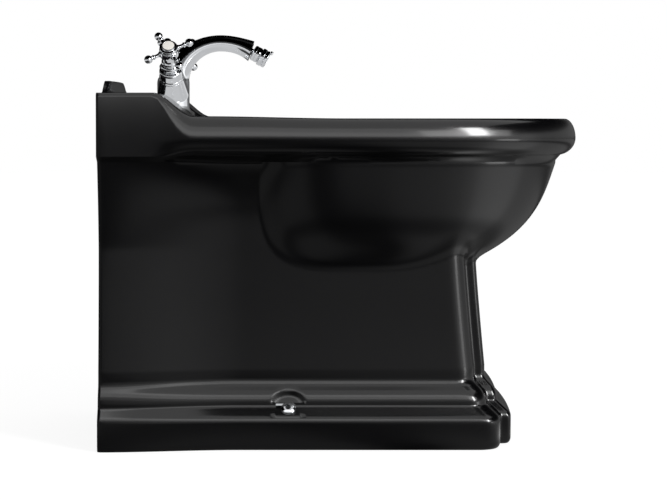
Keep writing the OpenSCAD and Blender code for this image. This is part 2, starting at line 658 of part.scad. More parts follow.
module lock_nut() color("#c9a84e") at_drain() difference() {
    union() {
        rod(flange_r, nut_top - nut_rim, nut_top);
        translate([0, 0, nut_top - nut_rim - nut_h]) cylinder(r = flange_r - 1, h = nut_h + 0.1, $fn = 6);
    }
    rod(neck_r + still_fit, nut_top - nut_rim - nut_h - 1, nut_top + 1);
}
// the tail pipe steps in where it enters the waste's socket
module tail_pipe() color("#c8c8cc") at_drain() difference() {
    union() {
        rod(tail_r, tail_low, seat_low - 4, 64);
        rod(tail_r - tail_step, seat_low - 5, socket_top - 0.5, 64);
    }
    rod(tail_r - 2, tail_low - 1, socket_top, 64);
}
plug_lift = -lift_travel * pivot_x / lever_reach;
plug_z = seat_z + plug_lift + 2.1;
plug_r = throat_r + 2.5;
lever_tip_z = lever_z - pivot_x * tan(lever_rest);
module plug() color("#c8c8cc") at_drain() difference() {
    union() {
        rotate_extrude($fn = 72) polygon([[0, plug_z - 2.5], [plug_r - 4, plug_z - 2.5], [plug_r - 4, plug_z],
            [plug_r, plug_z], [plug_r, plug_z + 1.4], [plug_r - 1.5, plug_z + 2.6], [0, plug_z + 3.8]]);
        rod(3.5, lever_tip_z - 9, plug_z);
        translate([-4, -6, lever_tip_z - 9]) cube([8, 12, 18]);
        for (k = [0:3]) rotate(45 + 90 * k) translate([0, -0.8, plug_z - 24]) cube([throat_r - 1, 1.6, 14]);
    }
    translate([-10, 0, lever_tip_z]) rotate([0, 90, 0]) rod(hole_r, 0, 20, 36);
}
module plug_seal() color("#222222") at_drain() tube(plug_r - 0.6, plug_r - 4, plug_z - 1.8, plug_z, 72);

// ---- floor fixing ----
bracket_w = 34;
bracket_low = 92;
bracket_high = 137;
bracket_t = 5;
bracket_top = 42;
bracket_nose = 25;
toe = 17;
screw_len = 42;
module floor_brackets() color("#d9d9d6") difference() {
    for (side = [0, 1]) mirror([0, side, 0]) translate([fixing_x - bracket_w / 2, 0, 0])
        rotate([90, 0, 90]) linear_extrude(bracket_w) polygon([[bracket_low, 0], [bracket_high, 0],
            [bracket_high, bracket_nose], [bracket_high - 15, bracket_top], [bracket_low + toe, bracket_nose + 1],
            [bracket_low + toe, bracket_t], [bracket_low, bracket_t]]);
    at_fixings() rod(screw_r - 0.2, -screw_len - 4, 0);
    for (side = [-1, 1], dx = [-10, 10]) translate([fixing_x + dx, side * (bracket_low + 8), 0])
        rod(2.6, -1, bracket_t + 1, 24);
}
module screw_sleeves() color("#e4e2dc") at_fixings() difference() {
    union() {
        rod(sleeve_r, -9, 0.2);
        rod(cover_r - 1.5, 0, 1.2);
    }
    rod(screw_r + still_fit, -10, 3);
}
module side_screws() color("#b0b2b5") at_fixings() {
    rod(screw_r, -9.4, 1.4);
    rod(screw_r - 0.3, -screw_len, -9);
    rod(screw_r + 2.4, 1.2, 3.2);
}
module screw_covers() color("#dedede") at_fixings() difference() {
    union() {
        rotate_extrude($fn = 64) polygon(concat(
            [[0, 0]], [for (a = [0:15:75]) [cover_r * cos(a), 0.8 + 4 * sin(a)]], [[0, 4.8]]));
        translate([-cover_r - 6, cover_r - 4.4, 0]) cube([11, 2.6, 1]);
    }
    rod(cover_r - 1.4, -1, 1.3);
    rod(cover_r - 3, -1, 3.3);
    rod(3.3, 3.9, 6);
}

// ---- the whole part ----
module placed() translate([-depth / 2, 0, 0]) children();
placed() ceramic_body();
placed() base_gasket();
placed() tap_body();
placed() spout();
placed() fixing_stud();
placed() fixing_rubber();
placed() fixing_plate();
placed() fixing_nut();
placed() valve(-1);  // valve_hot
placed() valve(1);  // valve_cold
placed() bonnet(-1);  // bonnet_hot
placed() bonnet(1);  // bonnet_cold
placed() spindle(-1);  // spindle_hot
placed() spindle(1);  // spindle_cold
placed() handle(-1, 30);  // handle_hot
placed() handle(1, 45);  // handle_cold
placed() handle_screw(-1);  // handle_screw_hot
placed() handle_screw(1);  // handle_screw_cold
placed() index_disc(-1);  // index_disc_hot
placed() index_disc(1);  // index_disc_cold
placed() ball_nipple();
placed() ball_seat();
placed() nozzle_collar();
placed() nozzle_ring();
placed() nozzle_screen();
placed() lift_knob();
placed() lift_rod();
placed() link_strap();
placed() strap_screw();
placed() lever_rod();
placed() lever_clip();
placed() lever_seat();
placed() lever_nut();
placed() plug();
placed() plug_seal();
placed() waste_flange();
placed() flange_gasket();
placed() waste_body();
placed() under_gasket();
placed() lock_nut();
placed() tail_pipe();
placed() floor_brackets();
placed() side_screws();
placed() screw_sleeves();
placed() screw_covers();
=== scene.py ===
"""Floor standing bidet: the finished look of every piece, made in the frame of its solids.

The shape functions work in millimetres, with x measured from the wall, y to the left and z up
from the floor. from_wall() brings them into the shared frame, in metres.
"""

import json
from math import cos, hypot, pi, radians, sin
from types import SimpleNamespace

import bmesh
import bpy
from bpy.props import FloatProperty, FloatVectorProperty, IntProperty, PointerProperty
from mathutils import Matrix, Vector

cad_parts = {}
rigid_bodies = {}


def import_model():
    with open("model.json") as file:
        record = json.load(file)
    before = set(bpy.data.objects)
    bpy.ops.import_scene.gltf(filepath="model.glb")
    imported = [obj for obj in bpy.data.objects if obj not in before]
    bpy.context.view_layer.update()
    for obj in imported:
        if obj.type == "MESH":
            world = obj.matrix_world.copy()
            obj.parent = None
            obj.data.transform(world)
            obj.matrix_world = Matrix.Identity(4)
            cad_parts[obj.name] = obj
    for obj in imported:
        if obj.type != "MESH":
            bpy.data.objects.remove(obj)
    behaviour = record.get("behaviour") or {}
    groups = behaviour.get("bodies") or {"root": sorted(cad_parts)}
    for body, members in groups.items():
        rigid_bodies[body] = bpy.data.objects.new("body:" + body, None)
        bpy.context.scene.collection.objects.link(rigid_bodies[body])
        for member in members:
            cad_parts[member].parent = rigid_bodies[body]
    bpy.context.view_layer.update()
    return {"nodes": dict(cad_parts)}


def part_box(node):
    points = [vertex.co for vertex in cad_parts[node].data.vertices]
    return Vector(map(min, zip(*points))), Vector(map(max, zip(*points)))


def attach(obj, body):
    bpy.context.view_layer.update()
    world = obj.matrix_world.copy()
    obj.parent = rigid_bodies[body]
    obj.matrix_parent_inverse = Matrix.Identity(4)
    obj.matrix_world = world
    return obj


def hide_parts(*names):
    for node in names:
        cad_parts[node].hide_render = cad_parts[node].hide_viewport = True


bl_info = {
    "name": "Floor standing bidet",
    "version": (1, 0, 0),
    "blender": (4, 5, 0),
    "location": "3D View > Sidebar > Bidet",
    "description": "Glazed body, cross handle mixer, swivelling nozzle and pop-up waste of a bidet",
    "category": "Add Mesh",
}

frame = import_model()
BODY_LOW, BODY_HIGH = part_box("ceramic_body")


# ---- sizes and colours ----

def linear(code):
    """Turns an sRGB hex colour into the linear red, green and blue that the shaders use."""
    parts = [int(code[i:i + 2], 16) / 255 for i in (0, 2, 4)]
    return tuple(c / 12.92 if c <= 0.04045 else ((c + 0.055) / 1.055) ** 2.4 for c in parts)


def length(name, default, description):
    return FloatProperty(name=name, default=default, unit="LENGTH", precision=4, description=description)


def colour(name, code, description):
    return FloatVectorProperty(name=name, default=linear(code), subtype="COLOR", size=3,
                               min=0, max=1, description=description)


class BidetBodySizes(bpy.types.PropertyGroup):
    depth: length("Depth", BODY_HIGH.x - BODY_LOW.x, "From the wall to the nose of the rim")
    rim_w: length("Rim width", BODY_HIGH.y - BODY_LOW.y, "Overall width of the rim")
    rear_w: length("Width at the wall", 0.344, "Width of the rim where it meets the wall")
    rim_h: length("Rim height", 0.3984, "Height of the rim above the floor")
    waist_w: length("Waist width", 0.239, "Width of the pedestal at its waist")
    wall_t: length("Wall thickness", 0.012, "Thickness of the ceramic walls")
    plinth_out: length("Plinth overhang", 0.0305, "How far the plinth stands out from the shaft")
    basin_floor: length("Basin floor", 0.246, "Height of the basin floor at the drain")


class BidetTapSizes(bpy.types.PropertyGroup):
    tap_x: length("Tap position", 0.078, "From the wall to the tap's axis")
    column_r: length("Column radius", 0.0206, "Radius of the tap's column")
    arm_reach: length("Arm reach", 0.0283, "From the middle of a cross handle to each ball")
    ball_r: length("Ball radius", 0.0052, "Radius of the balls on the cross handles")
    ring_r: length("Nozzle ring radius", 0.0115, "Outer radius of the nozzle's end ring")
    valve_tilt: FloatProperty(name="Valve tilt", default=radians(50), subtype="ANGLE",
                              description="Tilt of each valve away from upright")
    arms: IntProperty(name="Arms", default=4, min=3, max=6, description="Arms on each cross handle")


class BidetFinish(bpy.types.PropertyGroup):
    glaze: colour("Glaze", "070708", "Body glaze")
    chrome: colour("Chrome", "d9dbde", "Plating of the tap and the waste")
    steel: colour("Steel", "b3b5b8", "Screws, strap and lever")
    brass: colour("Brass", "c59f55", "Unplated fittings under the deck")
    rubber: colour("Rubber", "1b1b1c", "Gaskets and washers")
    porcelain: colour("Porcelain", "f1eee7", "Discs on the handles")
    nylon: colour("Nylon", "dddad2", "Brackets, sleeves and seats")


class BidetStage(bpy.types.PropertyGroup):
    backdrop: colour("Backdrop", "ffffff", "Colour behind the object")
    camera_y: length("Camera distance", 2.369, "From the camera to the middle of the object")
    camera_z: length("Camera height", 0.394, "Height of the camera above the floor")
    camera_dip: FloatProperty(name="Camera dip", default=radians(1.48), subtype="ANGLE",
                              description="How far the camera looks down")


# ---- shape of the glazed body ----

def ease(t):
    """A smooth step from 0 to 1."""
    u = min(max(t, 0), 1)
    return u * u * (3 - 2 * u)


def lerp(a, b, t):
    return a + (b - a) * t


def spread(low, high, count):
    """Evenly spaced values from low to high, both included."""
    return [lerp(low, high, i / (count - 1)) for i in range(count)]


def merge_out(a, b, k):
    """The larger of two reaches, with a hollow of size k where they meet."""
    h = max(k - abs(a - b), 0) / k
    return max(a, b) + h * h * k / 4


def merge_in(a, b, k):
    """The smaller of two reaches, with a round of size k where they meet."""
    return -merge_out(-a, -b, k)


def oval_reach(x, y, a, b, power):
    """How far a superellipse reaches in a direction."""
    return 1 / ((abs(x) / a) ** power + (abs(y) / b) ** power) ** (1 / power)


def body_shape(sizes):
    """The sizes of the body in millimetres; those without a setting follow the photograph."""
    mm = {key: getattr(sizes, key) * 1000 for key in BidetBodySizes.__annotations__}
    roll_up = 24.4
    return SimpleNamespace(
        **mm, wide_x=340, plinth_z=32.6, wing_h=28, lip_h=16,
        waist_z=240, base_z=92, cove_z=352, foot_side=7, foot_front=12, top_flare=26,
        block_x=442, bow_x=457.5, bow_crown=3.5, bow_half=80, corner_r=22, notch_r=6,
        foot_in=5, foot_up=9, shoulder_r=11, torus_z=53, torus_out=14.5, torus_r=24,
        cavetto_r=14, cavetto_z=72, wall_waist=149, wall_foot=171, wall_ledge=14, wall_head=163, wall_run=170,
        roll_down=21.5, roll_in_up=14, roll_in_down=24, wing_round=5,
        roll_z=mm["rim_h"] - roll_up, power=2.2, rear_rise=2.6, rise_from=130, rise_run=170,
        wing_x=26, wing_run=24, wing_side_x=68, wing_side_run=48, wing_y=46, wing_y_run=26,
        lip_edge=9, lip_bow=115, lip_run=6.5, lip_y=75, lip_y_run=40, seat_drop=0.5, seat_run=7,
        belly_z=343, belly_in=25, belly_mid=300, belly_rear=130, belly_power=2.6,
        belly_span=111, belly_curl=44.6, belly_rake=0.33, belly_side=0.52,
        basin_x=325, basin_half=154.5, basin_rear=191, basin_front=227, basin_power=2.4,
        basin_fall=14, basin_steep=8, edge_r=8, under_t=14,
        tap_x=78, tap_hole=17.5, seat_r=27, drain_r=23, recess_r=33,
        fixing_x=228, pocket_y=146.7, pocket_z=48.5, pocket_r=22, pocket_lean=0.32, fixing_slope=41,
        back_w=190, back_h=325)


def flare(s, z, low, high, swell):
    """How far the pedestal spreads below its waist and above it."""
    return (low * (max(s.waist_z - max(z, s.base_z), 0) / (s.waist_z - s.base_z)) ** swell
            + high * min(max((z - s.waist_z) / (s.cove_z - s.waist_z), 0), 1) ** 4)


def shaft_half(s, z):
    return s.waist_w / 2 + flare(s, z, s.foot_side, s.top_flare, 2)


def belly_shrink(s, z):
    """How far the belly has drawn in at a height."""
    drop = max(s.belly_z - z, 0)
    return s.belly_rake * drop + s.belly_curl * (drop / s.belly_span) ** 3.4


def belly_half(s, z):
    return max(s.rim_w / 2 - s.belly_in - s.belly_side * belly_shrink(s, z), 1)


def belly_side(s, x, z):
    share = min(max((s.belly_mid - x) / s.belly_rear, 0), 1)
    return belly_half(s, z) * (1 - share ** s.belly_power) ** (1 / s.belly_power)


def wall_half(s, z, m):
    """Half width at the wall: an hourglass, on which the base mouldings stand out less than on the shaft."""
    low = (s.waist_z - max(min(z, s.waist_z), s.base_z)) / (s.waist_z - s.base_z)
    high = min(max((z - s.waist_z) / (s.cove_z - s.waist_z), 0), 1)
    return (s.wall_waist + (s.wall_foot - s.wall_ledge - s.wall_waist) * low ** 1.5
            + (s.wall_head - s.wall_waist) * high ** 1.5 + s.wall_ledge * max(m, 0) / s.plinth_out)


def rim_crest(s, x):
    return s.rim_h + s.rear_rise * (1 - ease((x - s.rise_from) / s.rise_run))


def wing_share(s, x, y):
    """1 on the wings along the wall, 0 on the rim; the wings reach further forward at the sides."""
    side = ease((abs(y) - s.wing_y) / s.wing_y_run)
    return 1 - ease((x - lerp(s.wing_x, s.wing_side_x, side)) / lerp(s.wing_run, s.wing_side_run, side))


def top_z(s, x, y):
    """Height of the top: rim, wings beside the tap, lip along the wall, flat seat under the tap."""
    lip_edge = s.lip_edge * (1 - min(abs(y) / s.lip_bow, 1) ** 2)
    lip = (1 - ease((x - lip_edge) / s.lip_run)) * (1 - ease((abs(y) - s.lip_y) / s.lip_y_run))
    z = rim_crest(s, x) + s.wing_h * wing_share(s, x, y) + s.lip_h * lip
    seat = 1 - ease((hypot(x - s.tap_x, y) - s.seat_r) / s.seat_run)
    return lerp(z, s.rim_h + s.rear_rise - s.seat_drop, seat)


def front_line(s, z, m):
    """Front of the pedestal from the side: block with a round corner, notch, crowned bow."""
    w, b = shaft_half(s, z) + m, s.bow_half + m
    f, x = s.block_x + flare(s, z, s.foot_front, 0, 1.2) + m, s.bow_x + flare(s, z, s.foot_front, 0, 1.2) + m
    r, n = s.corner_r, s.notch_r
    points = [(v, w) for v in spread(s.wide_x, f - r, 13)[:-1]]
    points += [(f - r * (1 - sin(a)), w - r * (1 - cos(a))) for a in spread(0, pi / 2, 12)]
    points += [(f, v) for v in spread(w - r, b + n, 6)[1:-1]]
    points += [(f + n * (1 - cos(a)), b + n * (1 - sin(a))) for a in spread(0, pi / 2, 6)]
    points += [(x - n * (1 - sin(a)), b - n * (1 - cos(a))) for a in spread(0, pi / 2, 6)]
    return points + [(x + s.bow_crown * (1 - (y / b) ** 2), y) for y in spread(b - n, 0, 13)[1:]]


def outline(s, z, m, d, e, thin=0):
    """Half of the outline at height z: the shaft offset by m, joined with the rim drawn in by d."""
    side_x = spread(5, 189, 25) + spread(191, 267, 46) + spread(274, 330, 8)
    rear = merge_out(wall_half(s, z, m) - thin, s.rear_w / 2 - e, 8)
    points = [(0, v) for v in spread(0, rear - 5, 27)]
    points += [(5 * (1 - cos(a)), rear - 5 * (1 - sin(a))) for a in spread(0.3, 1.35, 4)]
    shaft = shaft_half(s, z) + m
    for x in side_x:
        rim = (lerp(s.rear_w / 2, s.rim_w / 2, ease(x / s.wide_x))
               - lerp(d, e, wing_share(s, x, s.rear_w / 2)))
        flank = lerp(wall_half(s, z, m) - thin, shaft, ease(x / s.wall_run))
        points.append((x, merge_out(merge_out(flank, belly_side(s, x, z), 14), rim, 8)))
    nose = max(s.depth - s.belly_in - belly_shrink(s, z) - s.wide_x, 1)
    rim_nose, rim_side = max(s.depth - d - s.wide_x, 1), max(s.rim_w / 2 - d, 1)
    for x, y in front_line(s, z, m):
        own = hypot(x - s.wide_x, y)
        u, v = (x - s.wide_x) / own, y / own
        belly = oval_reach(u, v, nose, belly_half(s, z), s.power) if z > s.base_z else 0
        reach = merge_out(merge_out(own, belly, 14), oval_reach(u, v, rim_nose, rim_side, s.power), 8)
        points.append((s.wide_x + u * reach, v * reach))
    return points


def shaft_line(s, z, m, thin=0):
    return outline(s, z, m, s.depth, s.depth, thin)


def scooped(s, x, y, z):
    """A point of the outer skin, pushed in where the soft scoop for the fixing screw is."""
    side, out, up = (1 if y > 0 else -1), cos(radians(s.fixing_slope)), sin(radians(s.fixing_slope))
    dx, dy, dz = x - s.fixing_x, abs(y) - s.pocket_y, z - s.pocket_z
    h = dy * out + dz * up
    r = hypot(dx, dy * up - dz * out)
    if h <= 0 or r > 50:
        return x, y, z
    wall = merge_out(0, (r - s.pocket_r) / s.pocket_lean, 14) - 0.4
    push = merge_in(h, wall, 9) - h
    return x, y + side * push * out, z + push * up


def skin_rings(s):
    """Rings of the outer skin, from the floor up to the rim's crest."""
    levels = [(s.foot_up * (1 - cos(a)), s.plinth_out - s.foot_in * (1 - sin(a))) for a in spread(0, pi / 2, 6)]
    levels += [(z, s.plinth_out) for z in spread(s.foot_up, s.plinth_z, 10)[1:-1]]
    levels += [(s.plinth_z + s.shoulder_r * sin(a), s.plinth_out - s.shoulder_r * (1 - cos(a)))
               for a in spread(0, pi / 4, 10)]
    levels += list(zip(spread(levels[-1][0], s.torus_z - 2.6, 6)[1:], spread(levels[-1][1], s.torus_out + 1, 6)[1:]))
    levels += [(s.torus_z - 1.6, s.torus_out + 0.2)]
    levels += [(s.torus_z + s.torus_r * sin(a), s.torus_out - s.torus_r * (1 - cos(a))) for a in spread(0, pi / 4, 10)]
    fall = s.torus_z + s.torus_r * sin(pi / 4) + s.torus_out - s.torus_r * (1 - cos(pi / 4))
    cavetto_top = fall - s.cavetto_r * (1 - cos(pi / 4)) + s.cavetto_r * sin(pi / 4)
    levels += [(cavetto_top - s.cavetto_r * sin(a), s.cavetto_r * (1 - cos(a))) for a in spread(pi / 4, 0, 7)]
    levels += [(s.base_z, 0)]
    levels += [(z, 0) for z in (96, 101, 107, 115, 125, 140, 155, 170, 185, 198, 207)]
    levels += [(z, 0) for z in spread(212, 346, 34)]
    rings = [[scooped(s, x, y, z) for x, y in shaft_line(s, z, m)] for z, m in levels]
    for a in spread(radians(78), 0, 13):
        z, d = s.roll_z - s.roll_down * sin(a), s.roll_in_down * (1 - cos(a))
        rings.append([(x, y, z) for x, y in outline(s, z, 0, d, 0)])
    for a in [radians(1.5), radians(5)] + spread(radians(10), radians(82), 10):
        ring = []
        for x, y in outline(s, s.roll_z, 0, s.roll_in_up * (1 - cos(a)), s.wing_round * (1 - cos(a))):
            top = top_z(s, x, y)
            ring.append((x, y, lerp(lerp(s.roll_z, top, sin(a)), top - s.wing_round * (1 - sin(a)),
                                    wing_share(s, x, s.rear_w / 2))))
        rings.append(ring)
    return rings


def basin_share(s, x, y):
    """How far out a point is, where the basin's mouth is at 1."""
    dx = x - s.basin_x
    return 1 / oval_reach(dx, y, s.basin_front if dx > 0 else s.basin_rear, s.basin_half, s.basin_power)


def basin_z(s, share, brim):
    """Height of the basin at a share of the way out to its mouth, where it reaches the brim."""
    return s.basin_floor + s.basin_fall * share + (brim - s.basin_floor - s.basin_fall) * share ** s.basin_steep


def top_rings(s, crest):
    """Rings over the top to the basin's mouth, round its edge and down the basin to the drain."""
    paths = []
    for x, y in crest:
        dx, far = x - s.basin_x, hypot(x - s.basin_x, y)
        u, v, mouth = dx / far, y / far, far / basin_share(s, x, y)
        path = []
        for t in spread(0, 0.15, 14)[:-1] + spread(0.15, 1, 25):
            r = lerp(far, mouth + s.edge_r, t)
            path.append((r, top_z(s, s.basin_x + u * r, v * r)))
        brim = path[-1][1]
        path += [(mouth + s.edge_r * (1 - sin(a)), brim - s.edge_r * (1 - cos(a))) for a in spread(0.25, 1.35, 6)]
        # Rings lie close together where the wall turns over into the brim, and again round the drain's recess.
        shares = (.994, .988, .98, .97, .955, .94, .92, .895, .87, .84, .8, .75, .69, .62, .54, .46, .38)
        path += [(mouth * t, basin_z(s, t, brim)) for t in shares]
        path += [(r, basin_z(s, r / mouth, brim)) for r in (52, 44, 38, 35.5, 34)]
        path += [(33.3, path[-1][1] - 0.3), (33, path[-1][1] - 0.9), (33, s.basin_floor), (26, s.basin_floor),
                 (23.8, s.basin_floor - 0.3), (s.drain_r, s.basin_floor - 1.5),
                 (s.drain_r, s.basin_floor - s.under_t), (s.recess_r + 3, s.basin_floor - s.under_t)]
        paths.append([(s.basin_x + u * r, v * r, z) for r, z in path])
    return [list(ring) for ring in zip(*paths)]


def hollow_rings(s):
    """Rings of the hollow, from under the drain outwards and down inside the walls."""
    def inside(z, m):
        return [(max(x, s.wall_t), y) for x, y in shaft_line(s, z, m, s.wall_t)]
    rings = []
    for share in (.42, .52, .62, .7, .77, .82, .86, .89, .92, .945, .965, .985, 1, 2):
        ring = []
        for x, y in inside(215, -s.wall_t):
            far = hypot(x - s.basin_x, y)
            mouth = far / basin_share(s, x, y)
            near = min(far - 6, mouth + s.wall_t)
            r = far if share > 1 else near * share
            t = min(max((r - s.wall_t) / mouth, 0), 1)
            z = basin_z(s, t, s.rim_h - 3) - s.under_t
            if share > 1 and near > mouth:
                z = s.rim_h - s.under_t
            ring.append((s.basin_x + (x - s.basin_x) * r / far, y * r / far, z))
        rings.append(ring)
    inner = s.plinth_out - s.under_t - 2
    for z, m in [(215, -s.wall_t), (170, -s.wall_t), (130, -s.wall_t), (s.base_z, -s.wall_t),
                 (s.cavetto_z, 4 - s.wall_t), (s.plinth_z, inner), (18, inner), (0, inner)]:
        rings.append([(x, y, z) for x, y in inside(z, m)])
    return rings


# ---- making meshes ----

def from_wall(x=0.0, y=0.0, z=0.0):
    """Takes millimetres from the wall into the shared frame."""
    half = bpy.context.scene.bidet_body.depth / 2
    return Matrix.Translation((-half, 0, 0)) @ Matrix.Scale(0.001, 4) @ Matrix.Translation((x, y, z))


def turned(profile, sides=96, closed=False):
    """A shape turned about z from (radius, height) points; a point on the axis closes it."""
    bm = bmesh.new()
    spots = [(cos(2 * pi * i / sides), sin(2 * pi * i / sides)) for i in range(sides)]
    rings = [[bm.verts.new((r * c, r * d, z)) for c, d in spots] if r > 1e-6 else [bm.verts.new((0, 0, z))]
             for r, z in profile]
    for low, high in list(zip(rings, rings[1:])) + ([(rings[-1], rings[0])] if closed else []):
        for i in range(sides):
            j = (i + 1) % sides
            corners = (low[i % len(low)], low[j % len(low)], high[j % len(high)], high[i % len(high)])
            bm.faces.new(list(dict.fromkeys(corners)))
    bmesh.ops.recalc_face_normals(bm, faces=bm.faces)
    return bm


def softened(profile, radius, steps=4, closed=False):
    """The profile with a small round in place of each sharp corner, as polishing leaves it."""
    profile = [p for i, p in enumerate(profile)
               if i == 0 or hypot(p[0] - profile[i - 1][0], p[1] - profile[i - 1][1]) > 1e-4]
    count, out = len(profile), []
    for i, p in enumerate(profile):
        if not closed and i in (0, count - 1):
            out.append(p)
            continue
        before, after = profile[i - 1], profile[(i + 1) % count]
        near, far = hypot(before[0] - p[0], before[1] - p[1]), hypot(after[0] - p[0], after[1] - p[1])
        cut = min(radius, 0.45 * near, 0.45 * far)
        start = [lerp(p[k], before[k], cut / near) for k in (0, 1)]
        end = [lerp(p[k], after[k], cut / far) for k in (0, 1)]
        for t in spread(0, 1, steps + 1):
            out.append(tuple(lerp(lerp(start[k], p[k], t), lerp(p[k], end[k], t), t) for k in (0, 1)))
    return out


def lathed(profile, place, soft, sides=128, closed=False):
    """A softened profile turned about z, with the place that it goes to."""
    return turned(softened(profile, soft, closed=closed), sides, closed=closed), place


def looped(rings, closed=False):
    """A skin over rings of equal length; the last ring joins the first when closed."""
    bm = bmesh.new()
    rings = [[bm.verts.new(p) for p in ring] for ring in rings]
    for low, high in list(zip(rings, rings[1:])) + ([(rings[-1], rings[0])] if closed else []):
        for i in range(len(low)):
            j = (i + 1) % len(low)
            bm.faces.new((low[i], low[j], high[j], high[i]))
    bmesh.ops.recalc_face_normals(bm, faces=bm.faces)
    return bm


def joined(*shapes):
    """One mesh from (shape, matrix) pairs."""
    whole = bmesh.new()
    for bm, matrix in shapes:
        bmesh.ops.transform(bm, matrix=matrix, verts=bm.verts)
        if matrix.determinant() < 0:
            bmesh.ops.reverse_faces(bm, faces=bm.faces)
        mesh = bpy.data.meshes.new("part")
        bm.to_mesh(mesh)
        bm.free()
        whole.from_mesh(mesh)
        bpy.data.meshes.remove(mesh)
    return whole


def shown(name, bm, coat, body, *nodes, crease=45):
    """Makes the object of a finished piece, smooth but for edges sharper than crease degrees.

    coat is its material and the slot that this material belongs to; the slot is not used.
    """
    material, slot = coat
    mesh = bpy.data.meshes.new(name)
    bm.to_mesh(mesh)
    bm.free()
    mesh.materials.append(material)
    piece = bpy.data.objects.new(name, mesh)
    bpy.context.scene.collection.objects.link(piece)
    smooth(mesh, crease)
    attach(piece, body)
    if nodes:
        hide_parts(*nodes)


def smooth(mesh, crease):
    mesh.polygons.foreach_set("use_smooth", [True] * len(mesh.polygons))
    mesh.set_sharp_from_angle(angle=radians(crease))


def polished(name, node, coat, body):
    """A copy of a solid with its loose triangles merged and its round faces smoothed."""
    bm = bmesh.new()
    bm.from_mesh(frame["nodes"][node].data)
    bmesh.ops.remove_doubles(bm, verts=bm.verts, dist=2e-6)
    shown(name, bm, coat, body, node, crease=30)


def baked(piece):
    """Applies the piece's modifiers to its mesh."""
    bpy.context.view_layer.update()
    graph = bpy.context.evaluated_depsgraph_get()
    mesh = bpy.data.meshes.new_from_object(piece.evaluated_get(graph), depsgraph=graph)
    piece.modifiers.clear()
    piece.data = mesh
    return piece


def loose(name, bm):
    """A working object that isn't kept."""
    mesh = bpy.data.meshes.new(name)
    bm.to_mesh(mesh)
    bm.free()
    piece = bpy.data.objects.new(name, mesh)
    bpy.context.scene.collection.objects.link(piece)
    return piece


def cut(piece, *cutters):
    """Cuts (shape, matrix) pairs out of a working object."""
    for shape, place in cutters:
        cutter = loose("cutter", joined((shape, place)))
        trim = piece.modifiers.new("cut", "BOOLEAN")
        trim.operation, trim.solver, trim.object = "DIFFERENCE", "MANIFOLD", cutter
        baked(piece)
        bpy.data.objects.remove(cutter)


def as_shape(piece):
    """Takes a working object's mesh back as a shape and removes the object."""
    bm = bmesh.new()
    bm.from_mesh(piece.data)
    bpy.data.objects.remove(piece)
    return bm


# ---- finishes ----

def add(nodes, kind, inputs=None, **settings):
    """Adds a node with its settings; inputs gives each socket a value or another node's output."""
    node = nodes.new(kind)
    for key, value in settings.items():
        setattr(node, key, value)
    for socket, value in (inputs or {}).items():
        if isinstance(value, bpy.types.NodeSocket):
            node.id_data.links.new(value, node.inputs[socket])
        else:
            node.inputs[socket].default_value = value
    return node


def blank(owner):
    """The emptied node tree of a material or world."""
    owner.use_nodes = True
    owner.node_tree.nodes.clear()
    return owner.node_tree.nodes


def reckon(nodes, operation, *values):
    """One step of arithmetic between values or other nodes' outputs."""
    return add(nodes, "ShaderNodeMath", dict(enumerate(values)), operation=operation).outputs[0]


def finish(name, tone, metallic, roughness, grain, spots, relief, ior=None, coat=None, stretch=(1, 1, 1)):
    """The material of a surface in one of the set colours.

    grain is (wavelength in mm, darker share), spots (wavelength, swing of the roughness), relief (wavelength,
    depth in mm) and coat (weight, roughness).
    """
    if name in bpy.data.materials:
        return bpy.data.materials[name]
    material = bpy.data.materials.new(name)
    nodes, base = blank(material), getattr(bpy.context.scene.bidet_finish, tone)
    place = add(nodes, "ShaderNodeTexCoord").outputs["Object"]
    place = add(nodes, "ShaderNodeMapping", {"Vector": place, "Scale": stretch}).outputs["Vector"]
    waves, share = grain
    cloud = add(nodes, "ShaderNodeTexNoise", {"Vector": place, "Scale": 1000 / waves, "Detail": 3.0})
    mix = add(nodes, "ShaderNodeMix", {"Factor": cloud.outputs["Fac"], "A": (*(c * share for c in base), 1),
                                       "B": (*base, 1)}, data_type="RGBA")
    waves, swing = spots
    patch = add(nodes, "ShaderNodeTexNoise", {"Vector": place, "Scale": 1000 / waves, "Detail": 2.0})
    rough = add(nodes, "ShaderNodeMapRange", {"Value": patch.outputs["Fac"], "To Min": roughness - swing,
                                              "To Max": roughness + swing})
    waves, depth = relief
    bumps = add(nodes, "ShaderNodeTexNoise", {"Vector": place, "Scale": 1000 / waves, "Detail": 1.5})
    bump = add(nodes, "ShaderNodeBump", {"Height": bumps.outputs["Fac"], "Strength": 1.0, "Distance": depth / 1000})
    shader = add(nodes, "ShaderNodeBsdfPrincipled", {
        "Base Color": mix.outputs["Result"], "Metallic": metallic, "Roughness": rough.outputs["Result"],
        "Normal": bump.outputs["Normal"]})
    if ior:
        shader.inputs["IOR"].default_value = ior
    if coat:
        shader.inputs["Coat Weight"].default_value, shader.inputs["Coat Roughness"].default_value = coat
    add(nodes, "ShaderNodeOutputMaterial", {"Surface": shader.outputs["BSDF"]})
    return material


def glaze():
    # Vitreous china under a poured black glaze: soft wide gloss under a clear wet skin, slow fired waves.
    return finish("black glazed vitreous china", "glaze", 0, 0.2, ior=1.5, coat=(0.5, 0.11),
                  grain=(60, 0.8), spots=(45, 0.02), relief=(38, 0.05)), "ceramic"


def chrome():
    # Brass with polished chrome plate: mirror bright, with faint waves left by the buffing wheel.
    return finish("polished chrome plate", "chrome", 1, 0.05,
                  grain=(9, 0.97), spots=(14, 0.02), relief=(7, 0.006)), "chrome"


def steel():
    # Stainless steel strip and bar, drawn lengthwise: soft satin with streaks.
    return finish("drawn stainless steel", "steel", 1, 0.3,
                  grain=(3, 0.88), spots=(5, 0.07), relief=(1.5, 0.01), stretch=(1, 1, 0.12)), "steel"


